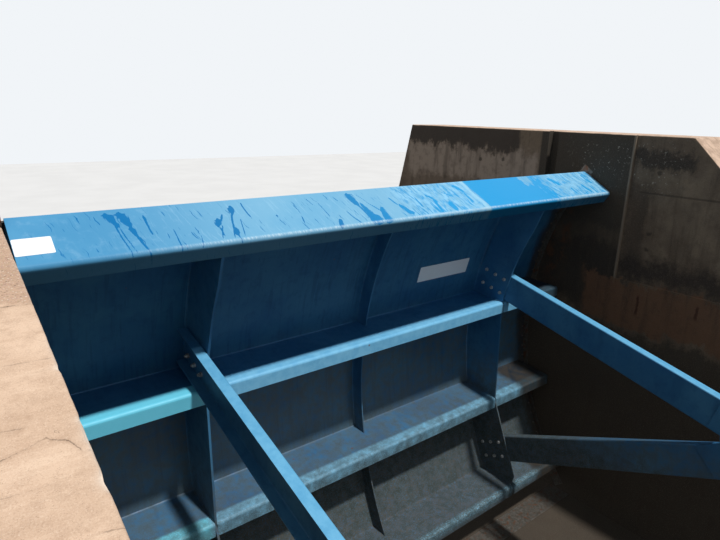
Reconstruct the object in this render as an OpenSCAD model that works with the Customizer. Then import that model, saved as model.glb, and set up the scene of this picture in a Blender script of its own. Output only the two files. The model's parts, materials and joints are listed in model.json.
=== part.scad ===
// Radial sluice gate with an overflow lip, in a limited stretch of its concrete channel.
// X runs across the channel, Y upstream, Z up. The origin is under the middle, at the foot of the walls.
// The gate stands a little open, as it does in use: the hinge line is the centre of the skin plate's curve.

/* [Channel] */
// Clear width between the two walls
channel_w = 6500; // [4500:50:8500]
// Thickness of each wall
wall_t = 800; // [500:50:1200]
// Length of channel kept downstream of the hinge line
wall_down = 1200; // [1000:50:2500]
// Length of channel kept upstream of the hinge line
wall_up = 6700; // [5200:50:8000]
// Thickness of the floor slab
floor_t = 300; // [200:10:600]
// Height of the left coping above the hinge line, where it is level
left_top = 2300; // [2200:10:3000]
// Height of the left coping where it passes the hinge line
left_hinge_top = 1455; // [1200:5:1700]
// Fall of both copings towards downstream
coping_fall = 12.5; // [8:0.5:16]
// Height of the right wall above the hinge line
right_top = 2650; // [2300:10:3400]
// Distance from the hinge line to the place where the right wall's top starts to fall
right_break = 1850; // [1200:50:2600]
// Height and length of the steep fall of the right wall's top
right_fall = 1000; // [500:50:1300]
// Batter of the right wall's upstream nose
nose_batter = 285; // [0:5:500]
// Height of the battered part of the nose
nose_h = 1115; // [600:5:1500]
// Width of the old slot near the top of each wall
slot_w = 150; // [80:5:200]
// Depth of the old slots
slot_d = 90; // [50:5:150]
// Distance of the old slots downstream of the skin plate's furthest point
slot_back = 210; // [190:5:300]
// Depth of the right wall's recessed panel
panel_d = 25; // [5:5:60]
// Distance from the seal track's upper end back to the panel's upright edge
panel_away = 495; // [100:5:700]
// Height of the panel's lower edge above the hinge line
panel_z = 860; // [500:10:1400]

/* [Skin plate] */
// Radius of the skin plate's downstream face
skin_r = 3750; // [3000:10:4500]
// Thickness of the skin plate
skin_t = 12; // [8:1:20]
// Angle of the skin's top edge above the hinge line
top_a = 34.9; // [30:0.1:40]
// Angle of the skin's bottom edge below the hinge line
bottom_a = 36.5; // [33:0.1:40]
// Angle by which the gate stands open
open_a = 5; // [0:0.5:12]
// Gap between the gate's edge and the wall
side_gap = 20; // [12:1:40]
// Clearance of every rubber seal from the concrete and the sill
seal_gap = 5; // [5:1:10]

/* [Crest lip] */
// Length of the lip's slope
lip_l = 443; // [200:1:600]
// Fall of the lip's slope
lip_a = 31.6; // [15:0.1:45]
// Length of the lip's folded edge, which stands square to the slope
lip_flange = 138; // [60:2:200]

/* [Beams] */
// Depth of the cross beams
beam_d = 495; // [350:5:600]
// Height of the cross beams' downstand
beam_flange = 130; // [80:5:200]
// Distance from the gate's edge to the outer ends of the cross beams
beam_short = 100; // [0:5:150]
// Thickness of the folded plates
plate_t = 10; // [6:1:16]
// Outside radius of the folds
fold_r = 30; // [15:1:60]
// Height of the upper beam, as an angle on the skin
upper_beam_a = 9; // [7:0.5:9]
// Height of the middle beam, as an angle on the skin
middle_beam_a = -11; // [-14:0.5:-8]
// Height of the bottom beam, as an angle on the skin
bottom_beam_a = -29.5; // [-31:0.5:-28]

/* [Ribs] */
// Distance of the main ribs from the middle of the gate
rib_x = 1960; // [1400:10:2200]
// Depth of the main ribs
rib_d = 475; // [350:5:550]
// Thickness of the main ribs
rib_t = 20; // [12:1:30]
// Depth of the centre ribs
mid_rib_d = 160; // [100:5:250]
// Thickness of the centre ribs
mid_rib_t = 14; // [8:1:20]

/* [Arms and hinge] */
// Slope of the upper arms
upper_arm_a = 13.4; // [12:0.1:15]
// Slope of the lower arms
lower_arm_a = -25.5; // [-27:0.1:-24]
// Depth of the arm channels
arm_h = 340; // [260:5:360]
// Width of the arm channels' flanges
arm_b = 95; // [60:5:140]
// Thickness of the arm channels
arm_t = 10; // [6:1:16]
// Distance from the hinge line to the arms' lower ends
arm_from = 620; // [600:10:1200]
// Outside radius of the arm channels' folds
arm_fold_r = 18; // [17:1:40]
// Length of the hub plates' lap on the arms
plate_lap = 120; // [60:10:500]
// Gap between the arms' upper ends and the skin
arm_gap = 60; // [30:5:150]
// Outside radius of the hubs
hub_r = 130; // [100:5:200]
// Length of the hubs
hub_l = 240; // [160:10:400]
// Radius of the hinge pins
pin_r = 75; // [50:5:100]
// Height and depth of the fixed cross girder that carries the hinge brackets
girder_h = 420; // [300:10:600]
// Width by which the girder's end plates stand out around it
end_plate_w = 90; // [40:5:140]

/* [Hidden] */
$fn = 96;
fine = 900;
eps = 0.5;
gate_w = channel_w - 2 * side_gap;
seal_t = 16;
seat = 0.3;
paint_t = 0.1;
lip_fold_r = fold_r + 3;
seal_r = skin_r + skin_t + seat;
bar_t = 8;
edge_bar_a = 0.9;
seal_low_a = 0.45;
sill_z = -(seal_r + seal_t) * sin(bottom_a + seal_low_a + open_a) - seal_gap;
sill_y = (skin_r + skin_t) * cos(bottom_a + open_a);
sill_w = 300;
sill_h = 40;
hinge_z = floor_t - sill_z;
hinge_y = (wall_down - wall_up) / 2;
seal_w = 60;
track_t = 10;
track_w = 150;
track_r = skin_r + skin_t;
track_top_a = top_a + 1;
track_low_a = 0.6 - bottom_a - open_a;
slot_y = skin_r - slot_back;
slot_end = 60;
slot_low = sqrt((track_r + track_w / 2 + slot_end) ^ 2 - slot_y ^ 2);
panel_y = (track_r - track_w / 2) * cos(track_top_a) - panel_away;
far = 9000;
beam_in = 60;
rib_swell = 15;
rib_over = 200;
edge_bar_d = 40;
bar_inset = 6;
plate_step = 40;
gusset_l = 210;
gusset_in = 20;
gusset_out = 25;
run_fit = 0.05;
cheek_t = 30;
cheek_r = pin_r + 80;
stiffener_t = 16;
stiffener_w = 50;
stiffener_z = 100;
stiffener_d = 160;
cheek_half = pin_r + 50;
cheek_inset = 20;
pin_out = 20;
base_side_w = 90;
base_y = -240;
base_t = 40;
girder_d = girder_h;
girder_t = 16;
girder_plate = 25;

concrete_pale = [0.83, 0.74, 0.62];
concrete_dark = [0.36, 0.32, 0.27];
gate_blue = [0.10, 0.38, 0.58];
gate_deep = [0.06, 0.25, 0.38];
lip_blue = [0.20, 0.52, 0.72];
rubber_black = [0.05, 0.05, 0.05];
steel_bare = [0.55, 0.56, 0.57];

// A point in the side view, at radius r and angle a from the hinge line.
function pol(r, a) = [r * cos(a), r * sin(a)];
function unit(v) = v / norm(v);
function left_of(v) = [-v[1], v[0]];

// The points of the bend that joins p0-p1 to p1-p2 with a centreline radius r.
function bend(p0, p1, p2, r, n = 10) =
  let (a = unit(p0 - p1), b = unit(p2 - p1), half = acos(a * b) / 2)
  let (away = r / tan(half), mid = p1 + unit(a + b) * (r / sin(half)))
  let (s = p1 + a * away - mid, e = p1 + b * away - mid)
  let (from = atan2(s[1], s[0]), turn = atan2(s[0] * e[1] - s[1] * e[0], s * e))
  [for (i = [0 : n]) mid + r * [cos(from + turn * i / n), sin(from + turn * i / n)]];

// The outline of a plate of thickness t that follows the centreline p.
function side_at(p, i) =
  let (n = len(p), v = unit(p[min(i + 1, n - 1)] - p[min(i, n - 2)]))
  let (w = unit(p[max(i, 1)] - p[max(i - 1, 0)]))
  let (u = unit(v + w))
  left_of(u) / (u * v);
function plate_outline(p, t) = concat(
  [for (i = [0 : len(p) - 1]) p[i] + side_at(p, i) * t / 2],
  [for (i = [len(p) - 1 : -1 : 0]) p[i] - side_at(p, i) * t / 2]);
function folded(p0, p1, p2, r, t) = plate_outline(concat([p0], bend(p0, p1, p2, r - t / 2), [p2]), t);

// Puts its children on the hinge line.
module at_hinge() {
  translate([0, hinge_y, hinge_z]) children();
}

// A side view shape, drawn as [upstream, up] from the hinge line, made solid between two distances across.
module across(x0, x1) {
  at_hinge() translate([x0, 0, 0]) rotate([90, 0, 90]) linear_extrude(x1 - x0) children();
}

// A curved bar about the hinge line, between two radii, two angles and two distances across.
module arc_bar(r0, r1, a0, a1, x0, x1) {
  at_hinge() rotate([90, 0, 90]) rotate([0, 0, a0]) rotate_extrude(angle = a1 - a0, $fn = fine)
    translate([r0, x0]) square([r1 - r0, x1 - x0]);
}

module round_across(r, x0, x1) {
  at_hinge() translate([x0, 0, 0]) rotate([0, 90, 0])
    cylinder(r = r, h = x1 - x0, $fn = r > 1000 ? fine : $fn);
}

module mirrored(side) {
  if (side > 0) children();
  else mirror([1, 0, 0]) children();
}

// The lip: its underside leans on the skin's top edge.
lip_dir = [-cos(lip_a), -sin(lip_a)];
lip_up = [-sin(lip_a), cos(lip_a)];
lip_from = pol(skin_r + skin_t, top_a);
lip_fold = lip_from + lip_up * plate_t / 2 + lip_dir * lip_l;

// With a clearance it gives the room that a neighbour has to leave for the lip.
module lip_profile(clear = 0) {
  start = lip_from + lip_up * plate_t / 2;
  polygon(folded(start, lip_fold, lip_fold - lip_up * (lip_flange + clear), lip_fold_r + clear,
    plate_t + 2 * clear));
}

// Everything under the lip's sloping plate.
module under_lip() {
  polygon([lip_from - lip_dir * far, lip_from + lip_dir * far, lip_from + lip_dir * far - lip_up * far,
    lip_from - lip_dir * far - lip_up * far]);
}

// The beams: a plate from the skin, falling a little, with a downstand.
function beam_fall(i) = i == 1 ? 6 : 2.5;
function beam_a(i) = [upper_beam_a, middle_beam_a, bottom_beam_a][i];
function beam_root(i) = pol(skin_r, beam_a(i));
function beam_dir(i) = [-cos(beam_fall(i)), -sin(beam_fall(i))];
function beam_up(i) = [-sin(beam_fall(i)), cos(beam_fall(i))];
function beam_fold(i) = beam_root(i) + beam_dir(i) * beam_d / cos(beam_fall(i));

module beam_profile(i) {
  p0 = beam_root(i) - beam_dir(i) * beam_in;
  p1 = beam_fold(i);
  polygon(folded(p0, p1, p1 + [0, -beam_flange], fold_r, plate_t));
}

module beam(i, x0, x1) {
  color(gate_blue) intersection() {
    across(x0, x1) beam_profile(i);
    round_across(skin_r, x0 - 1, x1 + 1);
  }
}

module beam_side(i, side) {
  mirrored(side) beam(i, rib_x + rib_t / 2, gate_w / 2 - beam_short);
}

module beam_centre(i) {
  beam(i, -rib_x + rib_t / 2, rib_x - rib_t / 2);
}

// The main ribs start inside the lip's folded edge. They are curved above the upper beam, straight between
// the beams, and narrower at the foot.
rib_top = lip_fold - lip_dir * (plate_t / 2 + paint_t) - lip_up * lip_flange;
rib_edge = concat(
  [rib_top + lip_up * 2 * lip_flange, rib_top],
  [for (k = [2 : 10]) pol(skin_r - rib_d, top_a - 1.5 - k * (top_a - 1.5 - upper_beam_a) / 10)],
  [pol(skin_r - rib_d + rib_swell, middle_beam_a - 3), pol(skin_r - rib_d, bottom_beam_a - 2.5),
    pol(skin_r - rib_d / 2, edge_bar_a - bottom_a)]);

module rib_profile() {
  intersection() {
    polygon(concat(rib_edge, [pol(skin_r + rib_over, edge_bar_a - bottom_a), pol(skin_r + rib_over, 0),
      pol(skin_r + rib_over, top_a + 4)]));
    under_lip();
  }
}

module main_rib(side) {
  mirrored(side) color(gate_deep) difference() {
    intersection() {
      across(rib_x - rib_t / 2, rib_x + rib_t / 2) rib_profile();
      round_across(skin_r, rib_x - rib_t, rib_x + rib_t);
    }
    across(rib_x - rib_t, rib_x + rib_t)
      lip_profile(paint_t);
  }
}

// A centre rib fills the curve between the line above it and the line below it.
function line_at(i, off, s) = beam_root(i) + beam_up(i) * off + beam_dir(i) * s;
module centre_rib(above, below) {
  reach = 2 * rib_d;
  off = plate_t / 2 + paint_t;
  lip_line = lip_from - lip_up * paint_t;
  hi = above < 0 ? [lip_line - lip_dir * reach, lip_line + lip_dir * reach]
    : [line_at(above, -off, -reach), line_at(above, -off, reach)];
  bar_a = edge_bar_a - bottom_a + paint_t / 50;
  lo = below > 2 ? [pol(skin_r - reach, bar_a), pol(skin_r + reach, bar_a)]
    : [line_at(below, off, reach), line_at(below, off, -reach)];
  color(gate_deep) intersection() {
    across(-mid_rib_t / 2, mid_rib_t / 2) polygon(concat(hi, lo));
    difference() {
      round_across(skin_r, -mid_rib_t, mid_rib_t);
      round_across(skin_r - mid_rib_d, -mid_rib_t - 1, mid_rib_t + 1);
    }
  }
}

// The arms: folded channels, web against the rib's outer face, flanges towards the wall.
arm_x = rib_x + rib_t / 2 + paint_t;
module arm(side, a) {
  x0 = arm_x + arm_t / 2;
  x1 = arm_x + arm_b;
  y = arm_h / 2 - arm_t / 2;
  r = arm_fold_r - arm_t / 2;
  upper_fold = bend([x1, y], [x0, y], [x0, -y], r);
  lower_fold = bend([x0, y], [x0, -y], [x1, -y], r);
  path = concat([[x1, y]], upper_fold, lower_fold, [[x1, -y]]);
  mirrored(side) color(gate_blue) at_hinge() rotate([a - 90, 0, 0])
    translate([0, 0, arm_from]) linear_extrude(skin_r - arm_gap - arm_from)
      polygon(plate_outline(path, arm_t));
}

// The hub plate lies on the webs' inner side, in the plane of the rib, and ties two arms to one hub.
// Between the arms it is a gusset, whose edge runs up from the lower arm to the upper one.
plate_far = arm_from + plate_lap;
plate_w = arm_h / 2 - 25;
hub_ring = 40;
function beside(a, r, s) = pol(r, a) + left_of(pol(1, a)) * s;
function plate_edge(a, r, s) = beside(a, r, s * plate_w);
module hub_plate(side) {
  mirrored(side) color(gate_deep) difference() {
    union() {
      across(rib_x - rib_t / 2, rib_x + rib_t / 2) polygon([
        pol(hub_r + 10, upper_arm_a + 90), plate_edge(upper_arm_a, arm_from - plate_step, 1),
        plate_edge(upper_arm_a, plate_far, 1), plate_edge(upper_arm_a, plate_far, -1),
        beside(upper_arm_a, arm_from, -(arm_h / 2 - gusset_in)),
        beside(lower_arm_a, arm_from - gusset_in, arm_h / 2 + gusset_out),
        beside(lower_arm_a, arm_from + gusset_l, arm_h / 2 - 5),
        plate_edge(lower_arm_a, plate_far, -1), plate_edge(lower_arm_a, arm_from - plate_step, -1),
        pol(hub_r + 10, lower_arm_a - 90)]);
      round_across(hub_r + hub_ring, rib_x - rib_t / 2, rib_x + rib_t / 2);
    }
    round_across(hub_r, rib_x - rib_t, rib_x + rib_t);
  }
}

hub_x0 = rib_x - hub_l / 2;
hub_x1 = rib_x + hub_l / 2;
module hub(side) {
  mirrored(side) color(gate_deep) difference() {
    round_across(hub_r, hub_x0, hub_x1);
    round_across(pin_r + run_fit, hub_x0 - 1, hub_x1 + 1);
  }
}

// The fixed side of the hinge: two stiffened cheeks on a base plate, and the pin through them.
cheek_in = hub_x0 - seal_gap;
cheek_out = hub_x1 + seal_gap;

// A stiffener leans on the base plate and on the cheek's outer face.
module stiffener(x, out) {
  for (z = [-stiffener_z, stiffener_z])
    at_hinge() translate([x, 0, z - stiffener_t / 2]) linear_extrude(stiffener_t)
      polygon([[-out * eps, base_y - eps], [out * stiffener_w, base_y - eps],
        [-out * eps, base_y + stiffener_d]]);
}

module bracket(side) {
  mirrored(side) color(gate_deep) difference() {
    union() {
      for (x = [cheek_in - cheek_t, cheek_out]) {
        across(x, x + cheek_t) polygon([pol(cheek_half, 90), [base_y + eps, girder_h / 2 - cheek_inset],
          [base_y + eps, -girder_h / 2 + cheek_inset], pol(cheek_half, -90)]);
        round_across(cheek_r, x, x + cheek_t);
      }
      stiffener(cheek_in - cheek_t, -1);
      stiffener(cheek_out + cheek_t, 1);
      across(hub_x0 - base_side_w, hub_x1 + base_side_w)
        translate([base_y - base_t, -girder_h / 2]) square([base_t + eps, girder_h]);
    }
    round_across(pin_r, hub_x0 - hub_l, hub_x1 + hub_l);
  }
}

module pin(side) {
  out = cheek_t + pin_out;
  mirrored(side) color(steel_bare) round_across(pin_r, cheek_in - out, cheek_out + out);
}

// The girder is a hollow box between two end plates on the walls.
module trunnion_girder() {
  y1 = base_y - base_t;
  plate_h = girder_h + 2 * end_plate_w;
  color(gate_deep) {
    difference() {
      across(-channel_w / 2, channel_w / 2)
        translate([y1 - girder_d, -girder_h / 2]) square([girder_d, girder_h]);
      across(-channel_w / 2 + girder_plate, channel_w / 2 - girder_plate)
        translate([y1 - girder_d + girder_t, -girder_h / 2 + girder_t])
          square([girder_d - 2 * girder_t, girder_h - 2 * girder_t]);
    }
    for (side = [-1, 1])
      mirrored(side) across(channel_w / 2 - girder_plate, channel_w / 2)
        translate([y1 - girder_d - end_plate_w, -plate_h / 2])
          square([girder_d + 2 * end_plate_w, plate_h]);
  }
}

// The concrete. The old slots end above the seal tracks, where they were filled in.
module slot_cut(side) {
  mirrored(side) across(channel_w / 2 - 1, channel_w / 2 + slot_d)
    translate([slot_y, slot_low]) square([slot_w, far]);
}

module panel_cut() {
  across(channel_w / 2 - 1, channel_w / 2 + panel_d)
    translate([-wall_down - 1, panel_z]) square([panel_y + wall_down + 1, far]);
}

module track_shape(x0, x1) {
  arc_bar(track_r - track_w / 2, track_r + track_w / 2, track_low_a, track_top_a, x0, x1);
}

module track_cut(side) {
  mirrored(side) track_shape(channel_w / 2 - 1, channel_w / 2 + track_t);
}

module floor_slab() {
  color(concrete_dark) difference() {
    across(-channel_w / 2, channel_w / 2)
      translate([-wall_down, -hinge_z]) square([wall_down + wall_up, floor_t]);
    sill_shape(1);
  }
}

module sill_shape(more) {
  across(-channel_w / 2 - more, channel_w / 2 + more)
    translate([sill_y - sill_w / 2, sill_z - sill_h]) square([sill_w, sill_h + more]);
}

module sill_beam() {
  color(steel_bare) sill_shape(0);
}

module left_wall() {
  flat_y = (left_top - left_hinge_top) / tan(coping_fall);
  color(concrete_pale) difference() {
    across(-channel_w / 2 - wall_t, -channel_w / 2) polygon([[-wall_down, -hinge_z], [wall_up, -hinge_z],
      [wall_up, left_top], [flat_y, left_top],
      [-wall_down, left_top - (flat_y + wall_down) * tan(coping_fall)]]);
    slot_cut(-1);
    track_cut(-1);
  }
}

module right_wall() {
  low_y = right_break - right_fall;
  low_z = right_top - right_fall;
  color(concrete_dark) difference() {
    across(channel_w / 2, channel_w / 2 + wall_t) polygon([[-wall_down, -hinge_z], [wall_up, -hinge_z],
      [wall_up, right_top - nose_h], [wall_up - nose_batter, right_top], [right_break, right_top],
      [low_y, low_z], [-wall_down, low_z - (low_y + wall_down) * tan(coping_fall)]]);
    slot_cut(1);
    panel_cut();
    track_cut(1);
  }
}

module seal_track(side) {
  mirrored(side) color(steel_bare) track_shape(channel_w / 2, channel_w / 2 + track_t);
}

// The moving plates.
module skin_plate() {
  color(gate_blue) intersection() {
    arc_bar(skin_r, skin_r + skin_t, -bottom_a, top_a + 1, -gate_w / 2, gate_w / 2);
    across(-gate_w / 2 - 1, gate_w / 2 + 1) under_lip();
  }
}

module crest_lip() {
  color(lip_blue) across(-gate_w / 2, gate_w / 2)
    lip_profile();
}

module bottom_edge_bar() {
  color(gate_deep)
    arc_bar(skin_r - edge_bar_d, skin_r, -bottom_a, edge_bar_a - bottom_a, -gate_w / 2, gate_w / 2);
}

module side_seal(side) {
  mirrored(side) color(rubber_black) arc_bar(seal_r, seal_r + seal_t, -bottom_a - seal_low_a, top_a - 0.4,
    gate_w / 2 - seal_w, channel_w / 2 - seal_gap);
}

module seal_bar(side) {
  mirrored(side) color(steel_bare) arc_bar(seal_r + seal_t, seal_r + seal_t + bar_t, -bottom_a + 0.1,
    top_a - 0.6, gate_w / 2 - seal_w, gate_w / 2 - bar_inset);
}

module bottom_seal() {
  color(rubber_black) arc_bar(seal_r, seal_r + seal_t, -bottom_a - seal_low_a, -bottom_a + 1.1,
    -gate_w / 2 + seal_w, gate_w / 2 - seal_w);
}

module bottom_seal_bar() {
  color(steel_bare) arc_bar(seal_r + seal_t, seal_r + seal_t + bar_t, -bottom_a + 0.1, -bottom_a + 1,
    -gate_w / 2 + seal_w, gate_w / 2 - seal_w);
}

floor_slab();
left_wall();
right_wall();
sill_beam();
seal_track(-1);  // left_seal_track
seal_track(1);  // right_seal_track
trunnion_girder();
bracket(-1);  // left_bracket
bracket(1);  // right_bracket
pin(-1);  // left_pin
pin(1);  // right_pin
skin_plate();
crest_lip();
main_rib(-1);  // left_main_rib
main_rib(1);  // right_main_rib
beam_side(0, -1);  // upper_beam_left
beam_centre(0);  // upper_beam_centre
beam_side(0, 1);  // upper_beam_right
beam_side(1, -1);  // middle_beam_left
beam_centre(1);  // middle_beam_centre
beam_side(1, 1);  // middle_beam_right
beam_side(2, -1);  // bottom_beam_left
beam_centre(2);  // bottom_beam_centre
beam_side(2, 1);  // bottom_beam_right
centre_rib(-1, 0);  // centre_rib_top
centre_rib(0, 1);  // centre_rib_upper
centre_rib(1, 2);  // centre_rib_lower
centre_rib(2, 3);  // centre_rib_bottom
bottom_edge_bar();
arm(-1, upper_arm_a);  // left_upper_arm
arm(-1, lower_arm_a);  // left_lower_arm
arm(1, upper_arm_a);  // right_upper_arm
arm(1, lower_arm_a);  // right_lower_arm
hub_plate(-1);  // left_hub_plate
hub_plate(1);  // right_hub_plate
hub(-1);  // left_hub
hub(1);  // right_hub
side_seal(-1);  // left_side_seal
side_seal(1);  // right_side_seal
bottom_seal();
seal_bar(-1);  // left_seal_bar
seal_bar(1);  // right_seal_bar
bottom_seal_bar();
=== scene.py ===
# %% [markdown]
# # A radial sluice gate between its two concrete walls
# The gate is a curved steel skin on two main ribs. Four channel arms tie the ribs to one hinge line
# downstream, so the whole blue frame turns about that line when the gate is lifted.
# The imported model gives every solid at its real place. This lesson dresses each solid in its finish and
# adds what a solid model leaves out: weathered concrete, weld beads, bolts, keepers and bare plates.

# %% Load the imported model
import json
import math
import random
import bmesh
import bpy
from mathutils import Matrix, Vector, noise

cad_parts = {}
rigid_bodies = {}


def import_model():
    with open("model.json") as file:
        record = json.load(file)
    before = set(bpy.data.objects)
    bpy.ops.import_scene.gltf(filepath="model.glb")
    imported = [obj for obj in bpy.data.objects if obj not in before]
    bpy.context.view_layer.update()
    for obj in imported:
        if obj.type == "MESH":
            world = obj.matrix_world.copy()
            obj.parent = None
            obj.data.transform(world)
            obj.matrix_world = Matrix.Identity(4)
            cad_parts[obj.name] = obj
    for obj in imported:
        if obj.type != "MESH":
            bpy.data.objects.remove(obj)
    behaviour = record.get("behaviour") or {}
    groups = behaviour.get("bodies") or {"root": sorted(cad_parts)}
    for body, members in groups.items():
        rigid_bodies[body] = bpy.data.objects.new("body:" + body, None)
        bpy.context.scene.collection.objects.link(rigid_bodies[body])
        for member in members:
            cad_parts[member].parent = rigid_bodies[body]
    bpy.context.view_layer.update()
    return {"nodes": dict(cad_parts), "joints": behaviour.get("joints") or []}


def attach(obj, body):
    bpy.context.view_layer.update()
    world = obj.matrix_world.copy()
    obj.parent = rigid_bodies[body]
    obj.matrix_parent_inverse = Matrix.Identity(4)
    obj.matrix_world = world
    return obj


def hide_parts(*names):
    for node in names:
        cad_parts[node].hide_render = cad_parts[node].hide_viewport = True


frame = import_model()
HINGE = Vector(frame["joints"][0]["pos_m"])
print("solids:", len(frame["nodes"]), " hinge line through:", [round(v, 3) for v in HINGE])

# %% [markdown]
# The camera stands at eye height over the left coping, a little downstream of the gate.
# Three angles describe the view better than a target point does, because each one can be read off the
# picture: the turn to the right of the channel's axis, the tilt down, and a slight roll.

# %% Camera on the left coping
EYE = Vector((-3.578, -3.601, 5.662))
TURN_RIGHT = math.radians(38.36)
TILT_DOWN = math.radians(15.89)
ROLL = math.radians(-1.44)
FOCAL_PIXELS = 554.47
PICTURE_WIDTH = 720

forward = Vector((math.sin(TURN_RIGHT) * math.cos(TILT_DOWN), math.cos(TURN_RIGHT) * math.cos(TILT_DOWN),
                  -math.sin(TILT_DOWN)))
level_right = Vector((math.cos(TURN_RIGHT), -math.sin(TURN_RIGHT), 0))
level_down = forward.cross(level_right)
picture_right = level_right * math.cos(ROLL) + level_down * math.sin(ROLL)
picture_down = level_down * math.cos(ROLL) - level_right * math.sin(ROLL)

camera_data = bpy.data.cameras.new("coping_camera")
camera_data.sensor_width = 36
camera_data.lens = FOCAL_PIXELS / PICTURE_WIDTH * camera_data.sensor_width
camera = bpy.data.objects.new("coping_camera", camera_data)
camera.matrix_world = Matrix((picture_right, -picture_down, -forward)).transposed().to_4x4()
camera.location = EYE
bpy.context.scene.collection.objects.link(camera)
bpy.context.scene.camera = camera
print("lens:", round(camera_data.lens, 2), "mm")

# %% [markdown]
# A gate like this stands in the open, and its lip shades the skin below it. One soft sun lamp from high up,
# a little downstream, gives that shade. A dim world fills it, so that no corner goes black.
# The backdrop should look pale although the fill is dim. The light path node tells which rays come from the
# camera, from a mirror-like surface or through glass, and only those see the bright backdrop.
# The floor is plain and pale. It belongs to the studio and not to the object.

# %% Studio light and floor
scene = bpy.context.scene
scene.view_settings.view_transform = "Standard"
world = bpy.data.worlds.new("studio")
world.use_nodes = True
scene.world = world
nodes, links = world.node_tree.nodes, world.node_tree.links
fill = nodes["Background"]
fill.inputs["Color"].default_value = (0.86, 0.93, 1.0, 1)
fill.inputs["Strength"].default_value = 0.30
backdrop = nodes.new("ShaderNodeBackground")
backdrop.inputs["Color"].default_value = (0.88, 0.91, 0.94, 1)
backdrop.inputs["Strength"].default_value = 1.0
path = nodes.new("ShaderNodeLightPath")
seen = path.outputs["Is Camera Ray"]
for kind in ("Is Glossy Ray", "Is Transmission Ray"):
    either = nodes.new("ShaderNodeMath")
    either.operation = "MAXIMUM"
    links.new(seen, either.inputs[0])
    links.new(path.outputs[kind], either.inputs[1])
    seen = either.outputs[0]
mixed = nodes.new("ShaderNodeMixShader")
links.new(seen, mixed.inputs[0])
links.new(fill.outputs[0], mixed.inputs[1])
links.new(backdrop.outputs[0], mixed.inputs[2])
links.new(mixed.outputs[0], nodes["World Output"].inputs["Surface"])

key = bpy.data.lights.new("key", "SUN")
key.energy = 3.0
key.angle = math.radians(3)
key.color = (1.0, 0.97, 0.93)
key_lamp = bpy.data.objects.new("key", key)
KEY_FROM = Vector((0.107, -0.45, 1.0))
key_lamp.rotation_euler = KEY_FROM.to_track_quat("Z", "Y").to_euler()
scene.collection.objects.link(key_lamp)

FLOOR_HALF = 60
FLOOR_DROP = 0.004
floor_mesh = bpy.data.meshes.new("studio_floor")
floor_mesh.from_pydata([(-FLOOR_HALF, -FLOOR_HALF, -FLOOR_DROP), (FLOOR_HALF, -FLOOR_HALF, -FLOOR_DROP),
                        (FLOOR_HALF, FLOOR_HALF, -FLOOR_DROP), (-FLOOR_HALF, FLOOR_HALF, -FLOOR_DROP)],
                       [], [(0, 1, 2, 3)])
floor = bpy.data.objects.new("studio_floor", floor_mesh)
scene.collection.objects.link(floor)
print("sun lamp:", key.energy, " fill:", round(fill.inputs["Strength"].default_value, 2))

# %% [markdown]
# Everything on a radial gate is easiest to place from its hinge line: a distance upstream and a height, or
# a radius and an angle. Two small helpers turn such a place into a point of the frame, and a third one makes
# a mesh into a piece that rides on its body. Pieces that ride on "gate" turn with it, the rest stay.

# %% Places and pieces
def at(x, up_stream, height):
    return Vector((x, HINGE.y + up_stream, HINGE.z + height))


def polar(x, radius, degrees):
    a = math.radians(degrees)
    return at(x, radius * math.cos(a), radius * math.sin(a))


def add_piece(name, verts, faces, body, sharp=35):
    mesh = bpy.data.meshes.new(name)
    mesh.from_pydata(verts, [], faces)
    mesh.validate()
    mesh.shade_smooth()
    mesh.set_sharp_from_angle(angle=math.radians(sharp))
    piece = bpy.data.objects.new(name, mesh)
    scene.collection.objects.link(piece)
    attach(piece, body)
    print(name, "triangles:", sum(len(p.vertices) - 2 for p in mesh.polygons))
    return piece


# %% [markdown]
# Cast concrete is never a flat box. Its faces wave a little between the form boards, its edges are rounded
# and chipped, and weather eats the surface. A wall is therefore a new closed mesh: a row of cross sections
# along the channel, each one a loop over the inner face, the top, the back and the foot. The top follows
# the wall's own outline. All lengths below are in metres from the hinge line.

# %% Sizes of the walls
CHANNEL_HALF = 3.25
WALL_T = 0.8
DOWN_END, UP_END = -1.2, 6.7
FOOT = -HINGE.z
ARRIS = 0.012
SLOT_FROM, SLOT_TO = 3.54, 3.69
SLOT_DEPTH = 0.09
SLOT_LOW = 1.6295
PANEL_EDGE = 2.4916
PANEL_LOW = 0.86
PANEL_DEPTH = 0.025
NOSE_BATTER = 0.285
NOSE_HEIGHT = 1.115
NOSE_LENGTH = 1.6
COPING_FALL = math.tan(math.radians(12.5))
LEFT_HIGH = 2.3
LEFT_AT_HINGE = 1.455
RIGHT_HIGH = 2.65
RAMP_FOOT, RAMP_FOOT_TOP = 0.85, 1.65


def left_top(y):
    return min(LEFT_HIGH, LEFT_AT_HINGE + y * COPING_FALL)


def right_top(y):
    if y > RAMP_FOOT:
        return min(RIGHT_HIGH, RAMP_FOOT_TOP + y - RAMP_FOOT)
    return RAMP_FOOT_TOP + (y - RAMP_FOOT) * COPING_FALL


def steps(low, high, size):
    """Even steps of about the given size, with both ends."""
    count = max(1, round((high - low) / size))
    return [low + (high - low) * k / count for k in range(count + 1)]


def stations(spans, marks):
    """Places of the cross sections: steps over each span, and a close pair at each mark."""
    places = []
    for low, high, size in spans:
        places += steps(low, high, size)
    places = [p for p in places if all(abs(p - m) > 0.006 for m in marks)]
    return sorted(set(places) | {m - 0.0015 for m in marks} | {m + 0.0015 for m in marks})


print("tops of the walls at the hinge line:", LEFT_AT_HINGE, round(right_top(0), 3))

# %% [markdown]
# Cracks and old joints are much thinner than any face of the mesh. Each vertex of the coping stores how far
# it lies to the left or right of the nearest crack. Between two vertices that number passes through zero
# exactly at the crack, so the material can draw a hair line there however coarse the mesh is. A second
# number says how strong the crack is, and it is zero away from it. Each crack begins with its strength.

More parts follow.
